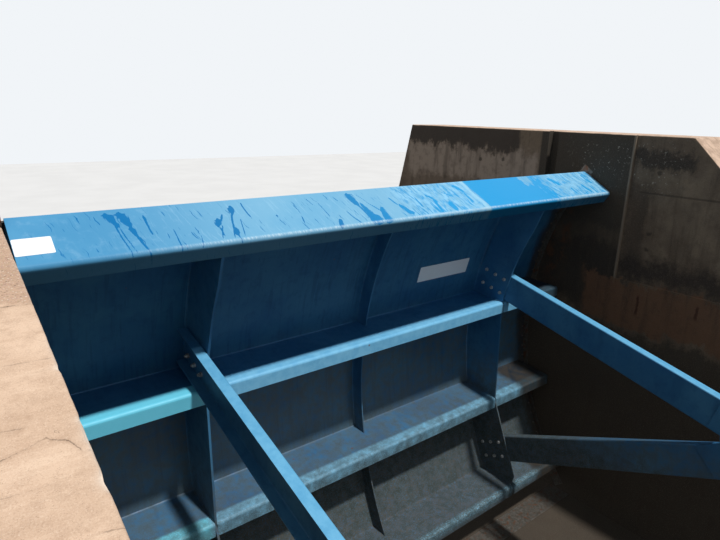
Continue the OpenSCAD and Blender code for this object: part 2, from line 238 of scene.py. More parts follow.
# %% Cracks in the left coping
COPING_CRACKS = [
    (0.75, [(-4.06, 2.10), (-3.70, 2.095), (-3.384, 2.086), (-3.320, 2.083), (-3.245, 2.079)]),
    (0.30, [(-3.70, 1.60), (-3.56, 1.64), (-3.413, 1.621), (-3.343, 1.618), (-3.245, 1.612)]),
    (0.55, [(-3.66, 1.05), (-3.517, 1.108), (-3.432, 1.129), (-3.369, 1.157), (-3.363, 1.137),
            (-3.311, 1.111), (-3.281, 1.031), (-3.245, 1.038)]),
    (0.35, [(-3.56, 1.262), (-3.498, 1.246), (-3.440, 1.234)]),
    (0.35, [(-4.06, 0.70), (-3.361, 0.686), (-3.334, 0.693), (-3.245, 0.674)]),
    (0.22, [(-3.80, 0.99), (-3.539, 0.947), (-3.416, 0.937)]),
    (0.60, [(-4.06, -0.52), (-3.80, -0.49), (-3.52, -0.53), (-3.245, -0.51)]),
    (0.60, [(-4.06, 3.62), (-3.75, 3.70), (-3.50, 3.66), (-3.245, 3.71)]),
]
CRACK_REACH = 0.034
FAR = 0.5
GROOVE_HALF, GROOVE_DEPTH = 0.012, 0.002


def nearest_crack(x, y):
    """The signed distance to the nearest crack, and its strength where it is near."""
    best, side, strength_here = 9.0, FAR, 0.0
    for strength, line in COPING_CRACKS:
        for (ax, ay), (bx, by) in zip(line, line[1:]):
            dx, dy = bx - ax, by - ay
            t = ((x - ax) * dx + (y - ay) * dy) / (dx * dx + dy * dy)
            t = min(max(t, 0.0), 1.0)
            away = math.hypot(x - ax - t * dx, y - ay - t * dy)
            if away < best:
                best = away
                cross = dx * (y - ay) - dy * (x - ax)
                side = math.copysign(min(away, FAR), cross)
                inside = line[0][0] - 0.01 <= x <= line[-1][0] + 0.01
                strength_here = strength if inside and away < CRACK_REACH else 0.0
    return side, strength_here


print("cracks and joints:", len(COPING_CRACKS))

# %% [markdown]
# Weather pushes each point of the surface a few millimetres into the concrete and never out of it, so the
# gate keeps its clearance. Noise gives the slow waves and the small pits. Its strength falls by half from
# one octave to the next, as it does on worn stone. Chips sit along the inner top edge, where the
# concrete is weakest, and three large ones have places of their own.

# %% Worn concrete
BIG_CHIPS = ((0.88, 0.06, 0.014), (1.54, 0.03, 0.010), (1.20, 0.03, 0.006))


def fractal(point, size, octaves):
    total = 0.0
    strength = 1.0
    for _ in range(octaves):
        total += noise.noise(point / size) * strength
        strength *= 0.5
        size *= 0.5
    return total


def chip_at(is_right, y):
    """Depth of the broken places along the inner top edge."""
    depth = max(0.0, fractal(Vector((y, 3.7, 8.0 if is_right else 1.0)), 0.35, 3) - 0.34) * 0.014
    depth += abs(noise.noise(Vector((y * 40.0, 1.2, 2.2)))) * 0.0020
    if not is_right:
        for place, length, deepest in BIG_CHIPS:
            depth += deepest * max(0.0, 1 - abs(y - place) / length)
    return depth


def weather(p, into, edge_away, broken):
    """The worn point, and how much of its depth is a chip."""
    wave = 0.0012 * (1 + fractal(p, 1.3, 2))
    pit = max(0.0, fractal(p, 0.12, 4)) * 0.0022
    chip = broken * math.exp(-edge_away / 0.014)
    return p + into * (wave + pit + chip), chip


print("deepest chip of the left edge:", round(max(chip_at(False, y) for y in steps(0, 3, 0.02)), 4), "m")

# %% [markdown]
# One cross section starts at the foot of the inner face. It climbs past the ledges of the panel and the
# slot, each of them a close pair of points, turns over the rounded arris, crosses the top and goes down the
# back. Each point carries the direction into the concrete and its distance from the inner top edge.

# %% Cross section of a wall
HALF_LEDGE = 0.001


def wall_depth(is_right, y, z):
    """How far the inner face is set back at one place."""
    if SLOT_FROM < y < SLOT_TO and z > SLOT_LOW:
        return SLOT_DEPTH
    if is_right and y < PANEL_EDGE and z > PANEL_LOW:
        return PANEL_DEPTH
    return 0.0


def face_heights(y, top, face_step):
    rows = round((LEFT_HIGH - PANEL_LOW) / face_step)
    heights = steps(FOOT, PANEL_LOW - HALF_LEDGE, face_step) + [PANEL_LOW + HALF_LEDGE]
    heights += [PANEL_LOW + (top - ARRIS - PANEL_LOW) * (k / rows) ** 0.9 for k in range(1, rows + 1)]
    if abs(y - SLOT_FROM) < 0.2 or abs(y - SLOT_TO) < 0.2:
        k = min(range(len(heights)), key=lambda i: abs(heights[i] - SLOT_LOW))
        heights[k:k + 2] = [SLOT_LOW - HALF_LEDGE, SLOT_LOW + HALF_LEDGE]
    return heights


def wall_section(is_right, y, top, face_step, top_step):
    side = 1 if is_right else -1
    inner, outer = side * CHANNEL_HALF, side * (CHANNEL_HALF + WALL_T)
    inward, down, outward = Vector((side, 0, 0)), Vector((0, 0, -1)), Vector((-side, 0, 0))
    ring = [(inner + side * wall_depth(is_right, y, z), z, inward, top - z)
            for z in face_heights(y, top, face_step)]
    set_back = wall_depth(is_right, y, top - ARRIS)
    for a in (math.radians(30), math.radians(60)):
        c, s = math.cos(a), math.sin(a)
        ring.append((inner + side * (set_back + ARRIS * (1 - c)), top - ARRIS * (1 - s),
                     Vector((side * c, 0, -s)), 0.0))
    for t in steps(ARRIS, WALL_T - ARRIS, top_step):
        ring.append((inner + side * max(t, set_back + ARRIS), top, down, t))
    corner = ARRIS * 0.3
    ring.append((outer - side * corner, top - corner, (down + outward).normalized(), 0.3))
    for z in reversed(steps(FOOT + 0.002, top - ARRIS, 0.17 if is_right else 0.15)):
        ring.append((outer, z, outward, 0.3))
    ring.append((inner + side * WALL_T / 2, FOOT, Vector((0, 0, 0)), 1.0))
    return ring


print("points in a cross section:", len(wall_section(True, 0.0, right_top(0.0), 0.036, 0.05)))

# %% [markdown]
# The wall joins its cross sections into four-sided faces and closes both ends. Every section needs the same
# number of points, so a low one gets a few spare points on its back. The right wall's upstream end leans
# back towards its top. Three numbers are stored with the vertices for the material: the two for the cracks,
# and how freshly the concrete is broken.

# %% Building a wall
def nose_lean(y, z):
    lean = min(max((z - (RIGHT_HIGH - NOSE_HEIGHT)) / NOSE_HEIGHT, 0.0), 1.0)
    t = min(max((y - (UP_END - NOSE_LENGTH)) / NOSE_LENGTH, 0.0), 1.0)
    return NOSE_BATTER * lean * t * t * (3 - 2 * t)


def wall_faces(sections, loop, is_right):
    faces = []
    for s in range(sections - 1):
        for k in range(loop):
            a, b = s * loop + k, s * loop + (k + 1) % loop
            faces.append((a, b, b + loop, a + loop))
    faces.append(tuple(reversed(range(loop))))
    faces.append(tuple(range((sections - 1) * loop, sections * loop)))
    return [face[::-1] for face in faces] if is_right else faces


def wall_mesh(name, is_right, top_of, places, face_step, top_step):
    verts, sides, strengths, bare = [], [], [], []
    loop = len(wall_section(is_right, places[0], top_of(places[0]), face_step, top_step))
    for y in places:
        ring = wall_section(is_right, y, top_of(y), face_step, top_step)
        while len(ring) > loop:
            ring.pop(-3)
        while len(ring) < loop:
            ring.insert(-3, ring[-3])
        broken = chip_at(is_right, y)
        for x, z, into, edge_away in ring:
            p, chip = weather(at(x, y - nose_lean(y, z) if is_right else y, z), into, edge_away, broken)
            crack, strength = FAR, 0.0
            if not is_right and into.z < -0.3:
                crack, strength = nearest_crack(x, y)
                if strength and abs(crack) < GROOVE_HALF:
                    p.z -= GROOVE_DEPTH * (1 - abs(crack) / GROOVE_HALF)
            verts.append(p)
            sides.append(crack)
            strengths.append(strength)
            bare.append(min(1.0, chip / 0.006))
    piece = add_piece(name, verts, wall_faces(len(places), loop, is_right), "structure", sharp=40)
    for label, values in (("crack_side", sides), ("crack_on", strengths), ("bare", bare)):
        piece.data.attributes.new(label, "FLOAT", "POINT").data.foreach_set("value", values)
    return piece


# %% [markdown]
# The sections lie closest where the camera looks: along the left coping beside the gate, and along the whole
# face of the right wall. Each new wall then stands in for its plain solid, which stays hidden and keeps its
# part in the simulation.

# %% The two walls
slot_marks = [SLOT_FROM, SLOT_TO]
left_spans = [(DOWN_END, 0.3, 0.05), (0.3, 3.1, 0.014), (3.1, UP_END, 0.06)]
left_places = stations(left_spans, slot_marks)
left_piece = wall_mesh("weathered_left_wall", False, left_top, left_places, 0.085, 0.0125)
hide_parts("left_wall")
right_spans = [(DOWN_END, 0.8, 0.06), (0.8, 6.0, 0.035), (6.0, UP_END, 0.045)]
right_places = stations(right_spans, slot_marks + [PANEL_EDGE])
right_piece = wall_mesh("weathered_right_wall", True, right_top, right_places, 0.036, 0.05)
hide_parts("right_wall")

# %% [markdown]
# The lip is one long sheet that was folded on a press: a slope that stands out from the skin, and
# an edge folded square to it. A sheet that long is never quite flat, so its cross section drifts a little
# from place to place. The new lip keeps the solid's outline and adds that drift and the press's fold.

# %% The folded lip
SKIN_R = 3.75
SKIN_T = 0.012
TOP_A = 34.9
LIP_T = 0.010
LIP_HALF = 3.23
LIP_LENGTH = 0.443
LIP_FALL = math.radians(31.6)
LIP_DOWNSTAND = 0.138
LIP_FOLD_R = 0.033
SLOPE_ROWS, FOLD_ROWS, FALL_ROWS = 24, 10, 3
FINE_FROM, FINE_TO = -2.72, 0.84


def fold_line(start, corner, end, radius, count):
    """The points of a sheet's middle line, from start over a rounded corner to end."""
    a = (start - corner).normalized()
    b = (end - corner).normalized()
    half = a.angle(b) / 2
    middle = corner + (a + b).normalized() * (radius / math.sin(half))
    first = corner + a * (radius / math.tan(half)) - middle
    last = corner + b * (radius / math.tan(half)) - middle
    turn = math.pi - 2 * half
    way = math.copysign(1, first.x * last.y - first.y * last.x)
    bend = []
    for k in range(count + 1):
        t = way * turn * k / count
        bend.append(middle + Vector((first.x * math.cos(t) - first.y * math.sin(t),
                                     first.x * math.sin(t) + first.y * math.cos(t))))
    return [start] + bend + [end]


def lip_line():
    top = math.radians(TOP_A)
    root = Vector(((SKIN_R + SKIN_T) * math.cos(top), (SKIN_R + SKIN_T) * math.sin(top)))
    up = Vector((-math.sin(LIP_FALL), math.cos(LIP_FALL)))
    out = Vector((-math.cos(LIP_FALL), -math.sin(LIP_FALL)))
    start = root + up * LIP_T / 2
    corner = start + out * LIP_LENGTH
    points = fold_line(start, corner, corner - up * LIP_DOWNSTAND, LIP_FOLD_R - LIP_T / 2, FOLD_ROWS)
    slope = [points[0].lerp(points[1], k / SLOPE_ROWS) for k in range(SLOPE_ROWS)]
    fall = [points[-2].lerp(points[-1], k / FALL_ROWS) for k in range(1, FALL_ROWS + 1)]
    return slope + points[1:-1] + fall


def shares(line):
    """How far along the line each of its points lies, from 0 to 1."""
    along = [0.0]
    for a, b in zip(line, line[1:]):
        along.append(along[-1] + (b - a).length)
    return [s / along[-1] for s in along]


def lip_share(down):
    return down / (LIP_LENGTH + LIP_DOWNSTAND)


def sheet_mesh(name, line, thickness, places, drift, body):
    """A sheet with its two faces and closed ends, run along the gate."""
    count = len(line)
    share = shares(line)
    across = []
    for k in range(count):
        ahead = line[min(k + 1, count - 1)] - line[max(k - 1, 0)]
        across.append(Vector((-ahead.y, ahead.x)).normalized() * thickness / 2)
    verts, faces = [], []
    for x in places:
        shift = drift(x)
        ring = [line[k] + across[k] for k in range(count)]
        ring += [line[k] - across[k] for k in reversed(range(count))]
        for k, p in enumerate(ring):
            verts.append(at(x, p.x, p.y + shift * share[k if k < count else 2 * count - 1 - k]))
    loop = 2 * count
    for s in range(len(places) - 1):
        for k in range(loop):
            a, b = s * loop + k, s * loop + (k + 1) % loop
            faces.append((a, a + loop, b + loop, b))
    for k in range(count - 1):
        a, b = k, loop - 1 - k
        faces.append((a, a + 1, b - 1, b))
        base = (len(places) - 1) * loop
        faces.append((base + b, base + b - 1, base + a + 1, base + a))
    return add_piece(name, verts, faces, body, sharp=50)


def lip_drift(x):
    slow = noise.noise(Vector((x * 0.8, 4.0, 0.5)))
    quick = noise.noise(Vector((x * 4.0, 1.0, 7.5)))
    return 0.0022 * slow + 0.0008 * quick


lip_places = steps(-LIP_HALF, FINE_FROM, 0.04) + steps(FINE_FROM, FINE_TO, 0.006)[1:]
lip_places += steps(FINE_TO, LIP_HALF, 0.04)[1:]
lip_piece = sheet_mesh("folded_lip", lip_line(), LIP_T, lip_places, lip_drift, "gate")
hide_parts("crest_lip")

# %% [markdown]
# This lip never quite dries, and its wet runs stand out dark on the paint. The large ones are drawn one by
# one as tapered strokes. Each has a start and an end, given by the place along the gate, the distance that
# a drop has gone over the sheet, and half the run's width. The sheet has close cross sections there. Each
# vertex stores how far it lies inside the nearest stroke: 0.5 is a stroke's border, so the material finds a
# sharp border between two vertices.

# %% Wet runs on the lip
WET_RUNS = [
    ((-2.664, 0.030, 0.034), (-2.611, 0.195, 0.011)), ((-2.613, 0.180, 0.006), (-2.570, 0.450, 0.004)),
    ((-2.640, 0.090, 0.006), (-2.606, 0.480, 0.004)), ((-2.583, 0.030, 0.042), (-2.544, 0.200, 0.016)),
    ((-2.546, 0.180, 0.018), (-2.520, 0.300, 0.013)), ((-2.523, 0.280, 0.011), (-2.484, 0.440, 0.006)),
    ((-2.486, 0.420, 0.006), (-2.466, 0.570, 0.004)), ((-2.433, 0.080, 0.011), (-2.422, 0.310, 0.004)),
    ((-2.268, 0.250, 0.004), (-2.266, 0.480, 0.005)), ((-2.110, 0.330, 0.003), (-2.140, 0.470, 0.006)),
    ((-1.872, 0.140, 0.006), (-1.915, 0.225, 0.013)), ((-1.934, 0.185, 0.032), (-1.962, 0.285, 0.022)),
    ((-1.925, 0.260, 0.005), (-1.971, 0.415, 0.004)), ((-1.952, 0.270, 0.006), (-1.940, 0.400, 0.004)),
    ((-1.780, 0.060, 0.022), (-1.800, 0.165, 0.028)), ((-1.806, 0.150, 0.008), (-1.860, 0.330, 0.008)),
    ((-1.838, 0.300, 0.022), (-1.850, 0.400, 0.018)), ((-1.860, 0.320, 0.006), (-1.884, 0.420, 0.004)),
    ((-1.846, 0.380, 0.006), (-1.830, 0.480, 0.004)), ((-1.752, 0.200, 0.004), (-1.800, 0.400, 0.004)),
    ((-1.680, 0.030, 0.006), (-1.671, 0.225, 0.005)), ((-1.456, 0.205, 0.011), (-1.452, 0.255, 0.006)),
    ((-1.250, 0.250, 0.005), (-1.266, 0.355, 0.004)), ((-1.110, 0.050, 0.006), (-1.070, 0.160, 0.004)),
    ((-1.020, 0.095, 0.004), (-0.993, 0.320, 0.005)), ((-0.920, 0.330, 0.014), (-0.944, 0.450, 0.026)),
    ((-0.793, 0.250, 0.005), (-0.745, 0.440, 0.007)), ((-0.830, 0.060, 0.006), (-0.803, 0.150, 0.005)),
    ((-0.668, 0.030, 0.040), (-0.648, 0.215, 0.024)), ((-0.645, 0.190, 0.010), (-0.600, 0.460, 0.008)),
    ((-0.610, 0.170, 0.012), (-0.574, 0.380, 0.050)), ((-0.572, 0.330, 0.060), (-0.550, 0.462, 0.062)),
    ((-0.590, 0.050, 0.005), (-0.430, 0.330, 0.008)), ((-0.420, 0.240, 0.014), (-0.450, 0.462, 0.050)),
    ((-0.255, 0.130, 0.010), (-0.215, 0.270, 0.008)), ((-0.200, 0.235, 0.022), (-0.122, 0.400, 0.048)),
    ((0.044, 0.170, 0.009), (0.056, 0.330, 0.008)), ((0.215, 0.150, 0.024), (0.300, 0.285, 0.010)),
    ((0.254, 0.230, 0.020), (0.246, 0.430, 0.014)), ((0.412, 0.110, 0.009), (0.570, 0.230, 0.018)),
    ((0.425, 0.270, 0.038), (0.440, 0.430, 0.026)), ((0.670, 0.040, 0.034), (0.764, 0.180, 0.012)),
    ((0.738, 0.170, 0.010), (0.762, 0.340, 0.013)), ((2.560, 0.260, 0.020), (2.578, 0.440, 0.020)),
    ((2.722, 0.240, 0.012), (2.750, 0.420, 0.012)), ((2.800, 0.190, 0.020), (2.880, 0.390, 0.032)),
    ((3.020, 0.060, 0.020), (3.070, 0.240, 0.030)), ((2.300, 0.060, 0.050), (2.420, 0.240, 0.030)),
]


def inside_runs(x, gone):
    """Above 0.5 inside a stroke and below it outside. The ends taper over 20 and 30 mm."""
    best = -1.0
    for (x0, s0, w0), (x1, s1, w1) in WET_RUNS:
        if s0 < gone < s1 and abs(x - x0) < 0.3:
            t = (gone - s0) / (s1 - s0)
            half = (w0 + (w1 - w0) * t) * min(1.0, (gone - s0) / 0.02, (s1 - gone) / 0.03)
            best = max(best, 1.5 - abs(x - x0 - (x1 - x0) * t) / max(half, 0.0008))
    return best


root = polar(0.0, SKIN_R + SKIN_T, TOP_A)
inside = []
for vert in lip_piece.data.vertices:
    back, under = root.y - vert.co.y, root.z - vert.co.z
    slope = back * math.cos(LIP_FALL) + under * math.sin(LIP_FALL)
    drop = under * math.cos(LIP_FALL) - back * math.sin(LIP_FALL)
    bend = 0.016 * noise.noise(Vector((vert.co.x * 9, slope * 5, 2.0)))
    inside.append(inside_runs(vert.co.x + bend, slope + max(0.0, drop)))
lip_piece.data.attributes.new("wet_run", "FLOAT", "POINT").data.foreach_set("value", inside)
print("vertices inside a wet run:", sum(1 for v in inside if v > 0.5))

# %% [markdown]
# A bolted joint shows a washer and a hexagon head on one face of the plates, and a washer, a nut and the end
# of the thread on the other. One function builds a whole bolt from rings of points: a chamfered washer, a
# hexagon with a rounded top, and the thread as a stack of fine ridges. All bolts of one joint become a
# single piece, which keeps the list of pieces short.

# %% Bolts
def ring_points(centre, axis, radius, sides, twist=0.0):
    right = axis.orthogonal().normalized()
    up = axis.cross(right)
    return [centre + (right * math.cos(a) + up * math.sin(a)) * radius
            for a in (twist + 2 * math.pi * k / sides for k in range(sides))]


def turned(verts, faces, centre, axis, profile, sides, twist=0.0):
    """Adds a closed turned shape: profile holds (height, radius) pairs from its foot to its top."""
    first = len(verts)
    for height, radius in profile:
        verts.extend(ring_points(centre + axis * height, axis, radius, sides, twist))
    for r in range(len(profile) - 1):
        for k in range(sides):
            a, b = first + r * sides + k, first + r * sides + (k + 1) % sides
            faces.append((a, b, b + sides, a + sides))
    faces.append(tuple(first + k for k in reversed(range(sides))))
    faces.append(tuple(first + (len(profile) - 1) * sides + k for k in range(sides)))


WASHER_T = 0.004
HEX_FOOT = 0.0041


def add_washer(verts, faces, foot, axis, size):
    rim = size * 0.92
    turned(verts, faces, foot, axis, [(0, rim), (WASHER_T - 0.001, rim), (WASHER_T, size * 0.88)], 24)


def add_head(verts, faces, foot, axis, size, twist):
    """A washer and a hexagon head. size is the bolt's diameter."""
    add_washer(verts, faces, foot, axis, size)
    flat = size * 0.866
    turned(verts, faces, foot + axis * HEX_FOOT, axis,
           [(0, flat * 0.97), (0.001, flat), (size * 0.55, flat), (size * 0.62, flat * 0.86)], 6, twist)


def add_nut(verts, faces, foot, axis, size, twist, proud):
    """A washer, a nut and the end of the thread, which stands proud of the nut."""
    add_washer(verts, faces, foot, axis, size)
    flat = size * 0.866
    top = size * 0.85
    turned(verts, faces, foot + axis * HEX_FOOT, axis,
           [(0, flat * 0.9), (size * 0.08, flat), (top * 0.9, flat), (top, flat * 0.88)], 6, twist)
    thread = []
    height = top * 0.8
    while height < top + proud:
        thread += [(height, size * 0.47), (height + 0.0012, size * 0.50)]
        height += 0.0028
    thread.append((height, size * 0.42))
    turned(verts, faces, foot + axis * WASHER_T, axis, thread, 16)


# %% [markdown]
# Six bolts hold each arm to its rib, in two rows of three. No two heads stop at the same angle on a real
# joint, so a seeded draw turns each one. The seed gives the same turns on every run.

# %% Arm bolts
draw = random.Random(7)
RIB_X = 1.96
RIB_HALF_T = 0.010
ARM_WEB_OUT = 1.9801
UPPER_ARM_A = 13.4
LOWER_ARM_A = -25.5
ARM_BOLT_RADII = (3.346, 3.485, 3.630)
ROW_HALF = 0.095
BOLT = 0.024
ARM_THREAD_PROUD = 0.012


def beside(x, angle, radius, away):
    """A point at a radius along a line from the hinge, and so far square to that line."""
    a = math.radians(angle)
    return at(x, radius * math.cos(a) - away * math.sin(a), radius * math.sin(a) + away * math.cos(a))


def bolt_group(name, places, axis, grip):
    """Bolts through plates of thickness grip. axis points out of the face that carries the heads."""
    verts, faces = [], []
    for place in places:
        add_head(verts, faces, place, axis, BOLT, draw.uniform(0, 1))
        add_nut(verts, faces, place - axis * grip, -axis, BOLT, draw.uniform(0, 1), ARM_THREAD_PROUD)
    add_piece(name, verts, faces, "gate", sharp=30)


for side, label in ((-1, "left"), (1, "right")):
    inward = Vector((-side, 0, 0))
    for angle, level in ((UPPER_ARM_A, "upper"), (LOWER_ARM_A, "lower")):
        face_x = side * (RIB_X - RIB_HALF_T)
        places = [beside(face_x, angle, radius, row)
                  for radius in ARM_BOLT_RADII for row in (-ROW_HALF, ROW_HALF)]
        bolt_group(f"{label}_{level}_arm_bolts", places, inward, ARM_WEB_OUT - (RIB_X - RIB_HALF_T))

# %% [markdown]
# The rubber seals are clamped to the skin by steel bars, with a bolt about every 150 mm. Each bolt stands
# square to the curve, so its axis points away from the hinge line at its own angle.

# %% Seal bolts
SEAL_BAR_OUT = 3.7863
SEAL_BOLT = 0.012
SEAL_PITCH = 0.150
SEAL_THREAD_PROUD = 0.004
SIDE_SEAL_X = 3.197
BOTTOM_SEAL_A = -35.95


def radial(degrees):
    a = math.radians(degrees)
    return Vector((0, math.cos(a), math.sin(a)))


def seal_bolts(name, places):
    verts, faces = [], []
    for x, angle in places:
        axis = radial(angle)
        add_head(verts, faces, polar(x, SEAL_BAR_OUT, angle), axis, SEAL_BOLT, draw.uniform(0, 1))
        add_nut(verts, faces, polar(x, SKIN_R, angle), -axis, SEAL_BOLT, draw.uniform(0, 1),
                SEAL_THREAD_PROUD)
    add_piece(name, verts, faces, "gate", sharp=30)


side_angles = steps(-35.2, 33.6, math.degrees(SEAL_PITCH / SEAL_BAR_OUT))
for side, label in ((-1, "left"), (1, "right")):
    seal_bolts(f"{label}_seal_bolts", [(side * SIDE_SEAL_X, a) for a in side_angles])
seal_bolts("bottom_seal_bolts", [(x, BOTTOM_SEAL_A) for x in steps(-3.08, 3.08, 0.2)])

# %% [markdown]
# The fixed end of the hinge hangs on a box girder between the walls. Its brackets and end plates are bolted,
# and a keeper plate let into each pin stops it from turning with the hub.

# %% Bolts and keepers of the fixed hinge
GIRDER_Y = -0.49
GIRDER_PLATE_T = 0.025
BASE_FACE = -0.24
CHEEK_OUT = 2.115
CHEEK_IN = 1.805
END_PLATE_STEPS = (-0.255, 0.0, 0.255)
KEEPER_HALF = (0.006, 0.088, 0.022)
KEEPER_BOLT = 0.016


def keeper_plate(name, centre):
    """A flat bar with chamfered edges."""
    mesh = bmesh.new()
    bmesh.ops.create_cube(mesh, size=2)
    for v in mesh.verts:
        v.co = v.co * Vector(KEEPER_HALF) + centre
    bmesh.ops.bevel(mesh, geom=list(mesh.edges), offset=0.003, segments=2, affect="EDGES")
    verts = [v.co.copy() for v in mesh.verts]
    mesh.verts.index_update()
    faces = [tuple(v.index for v in f.verts) for f in mesh.faces]
    mesh.free()
    add_piece(name, verts, faces, "structure", sharp=30)


for side, label in ((-1, "left"), (1, "right")):
    verts, faces = [], []
    for x in (1.7775, 2.1425):
        for z in (-0.17, 0.0, 0.17):
            add_head(verts, faces, at(side * x, BASE_FACE, z), Vector((0, 1, 0)), BOLT, draw.uniform(0, 1))
    wall_side = Vector((-side, 0, 0))
    for dy in END_PLATE_STEPS:
        for dz in END_PLATE_STEPS:
            if dy or dz:
                place = at(side * (CHANNEL_HALF - GIRDER_PLATE_T), GIRDER_Y + dy, dz)
                add_nut(verts, faces, place, wall_side, BOLT, draw.uniform(0, 1), 0.02)
    for x, way in ((CHEEK_OUT, side), (CHEEK_IN, -side)):
        for y in (-0.062, 0.062):
            place = at(side * x + way * 2 * KEEPER_HALF[0], y, 0.088)
            add_head(verts, faces, place, Vector((way, 0, 0)), KEEPER_BOLT, draw.uniform(0, 1))
    add_piece(f"{label}_hinge_bolts", verts, faces, "structure", sharp=30)
    for x, way, place_name in ((CHEEK_OUT, side, "outer"), (CHEEK_IN, -side, "inner")):
        centre = at(side * x + way * KEEPER_HALF[0], 0.0, 0.084)
        keeper_plate(f"{label}_{place_name}_pin_keeper", centre)

# %% [markdown]
# Plates are joined by fillet welds: a bead of weld metal in the corner, with a ripple for every drop of the
# electrode. A bead is modelled as a small bulging triangle drawn along the corner, and its size swells and
# shrinks along its length. It is small, but it is what makes a welded frame look welded from close by.

# %% Weld beads
WELD_LEG = 0.008
RIPPLE = 0.010


def bead(verts, faces, path, leg=WELD_LEG):
    """path gives (corner, first face direction, second face direction) for every half ripple."""
    first = len(verts)
    for k, (corner, one, two) in enumerate(path):
        swell = 1 + (0.10 if k % 2 else -0.06) + 0.12 * noise.noise(corner * 9)
        reach = leg * swell
        verts.extend([corner - (one + two) * 0.001, corner + one * reach,
                      corner + (one + two) * reach * 0.60, corner + two * reach])
    count = len(path)
    for s in range(count - 1):
        for k in range(4):
            a, b = first + s * 4 + k, first + s * 4 + (k + 1) % 4
            faces.append((a, b, b + 4, a + 4))
    faces.append((first + 3, first + 2, first + 1, first))
    last = first + (count - 1) * 4
    faces.append((last, last + 1, last + 2, last + 3))


def straight_bead(verts, faces, start, end, one, two, leg=WELD_LEG):
    count = max(2, round((end - start).length / (RIPPLE / 2)))
    bead(verts, faces, [(start.lerp(end, k / count), one, two) for k in range(count + 1)], leg)


SKIN_WELD_SPANS = ((-35.4, -29.9), (-29.1, -11.5), (-10.5, 8.6), (9.4, 34.4))


def arc_bead(verts, faces, x, low, high, way):
    """A bead along the skin, in the corner between the skin and an upright plate."""
    count = max(2, round(math.radians(high - low) * SKIN_R / (RIPPLE / 2)))
    path = []
    for k in range(count + 1):
        a = low + (high - low) * k / count
        path.append((polar(x, SKIN_R, a), Vector((way, 0, 0)), -radial(a)))
    bead(verts, faces, path)


BEAM_ANGLES = (9.0, -11.0, -29.5)
BEAM_FALLS = (2.5, 6.0, 2.5)
BEAM_T = 0.010
BEAM_DEPTH = 0.495
BEAM_END = 3.13
MID_RIB_HALF = 0.007


def beam_place(i, x, down, off):
    """A point of beam i: down its slope from the skin, and off above (or below) its middle."""
    a, fall = math.radians(BEAM_ANGLES[i]), math.radians(BEAM_FALLS[i])
    y = SKIN_R * math.cos(a) - down * math.cos(fall) - off * math.sin(fall)
    z = SKIN_R * math.sin(a) - down * math.sin(fall) + off * math.cos(fall)
    return at(x, y, z)


RIB_OUT, RIB_IN = RIB_X + RIB_HALF_T, RIB_X - RIB_HALF_T
bays = ((-BEAM_END, -RIB_OUT), (-RIB_IN, RIB_IN), (RIB_OUT, BEAM_END))
for i, level in enumerate(("upper", "middle", "bottom")):
    verts, faces = [], []
    a, fall = math.radians(BEAM_ANGLES[i]), math.radians(BEAM_FALLS[i])
    out = Vector((0, -math.cos(fall), -math.sin(fall)))
    tangent_up = Vector((0, -math.sin(a), math.cos(a)))
    for x0, x1 in bays:
        for way in (1, -1):
            off = way * BEAM_T / 2
            back = 0.004 * way * math.sin(a - fall)
            straight_bead(verts, faces, beam_place(i, x0, back, off), beam_place(i, x1, back, off),
                          out, tangent_up * way)
        for x, way in ((x0, 1), (x1, -1)):
            if abs(x) < BEAM_END - 0.01:
                for off, turn in ((BEAM_T / 2, 1), (-BEAM_T / 2, -1)):
                    across = Vector((way, 0, 0))
                    upright = Vector((0, -math.sin(fall) * turn, math.cos(fall) * turn))
                    straight_bead(verts, faces, beam_place(i, x, 0.01, off),
                                  beam_place(i, x, BEAM_DEPTH - 0.03, off), across, upright)
    add_piece(f"{level}_beam_welds", verts, faces, "gate", sharp=60)

ribs = (("left", -RIB_X, RIB_HALF_T), ("right", RIB_X, RIB_HALF_T), ("centre", 0.0, MID_RIB_HALF))
for label, x, half in ribs:
    verts, faces = [], []
    for way in (-1, 1):
        for low, high in SKIN_WELD_SPANS:
            arc_bead(verts, faces, x + way * half, low, high, way)
    add_piece(f"{label}_rib_welds", verts, faces, "gate", sharp=60)

# %% [markdown]
# At the hinge the two arms of a side are welded to one hub plate. A bead runs along each line where the
# plate's edge crosses the arms' webs, and a ring of weld joins the plate to the hub.

# %% Welds of the hub plates
HUB_R = 0.130
HUB_WELD_NEAR = 0.622
HUB_PLATE_FAR = 0.740
HUB_PLATE_HALF = 0.145
GUSSET_LOW = (0.830, 0.165)
PLATE_LEG, HUB_LEG = 0.007, 0.010


def bead_line(verts, faces, start, end, one, two):
    straight_bead(verts, faces, start, end, one, two, PLATE_LEG)


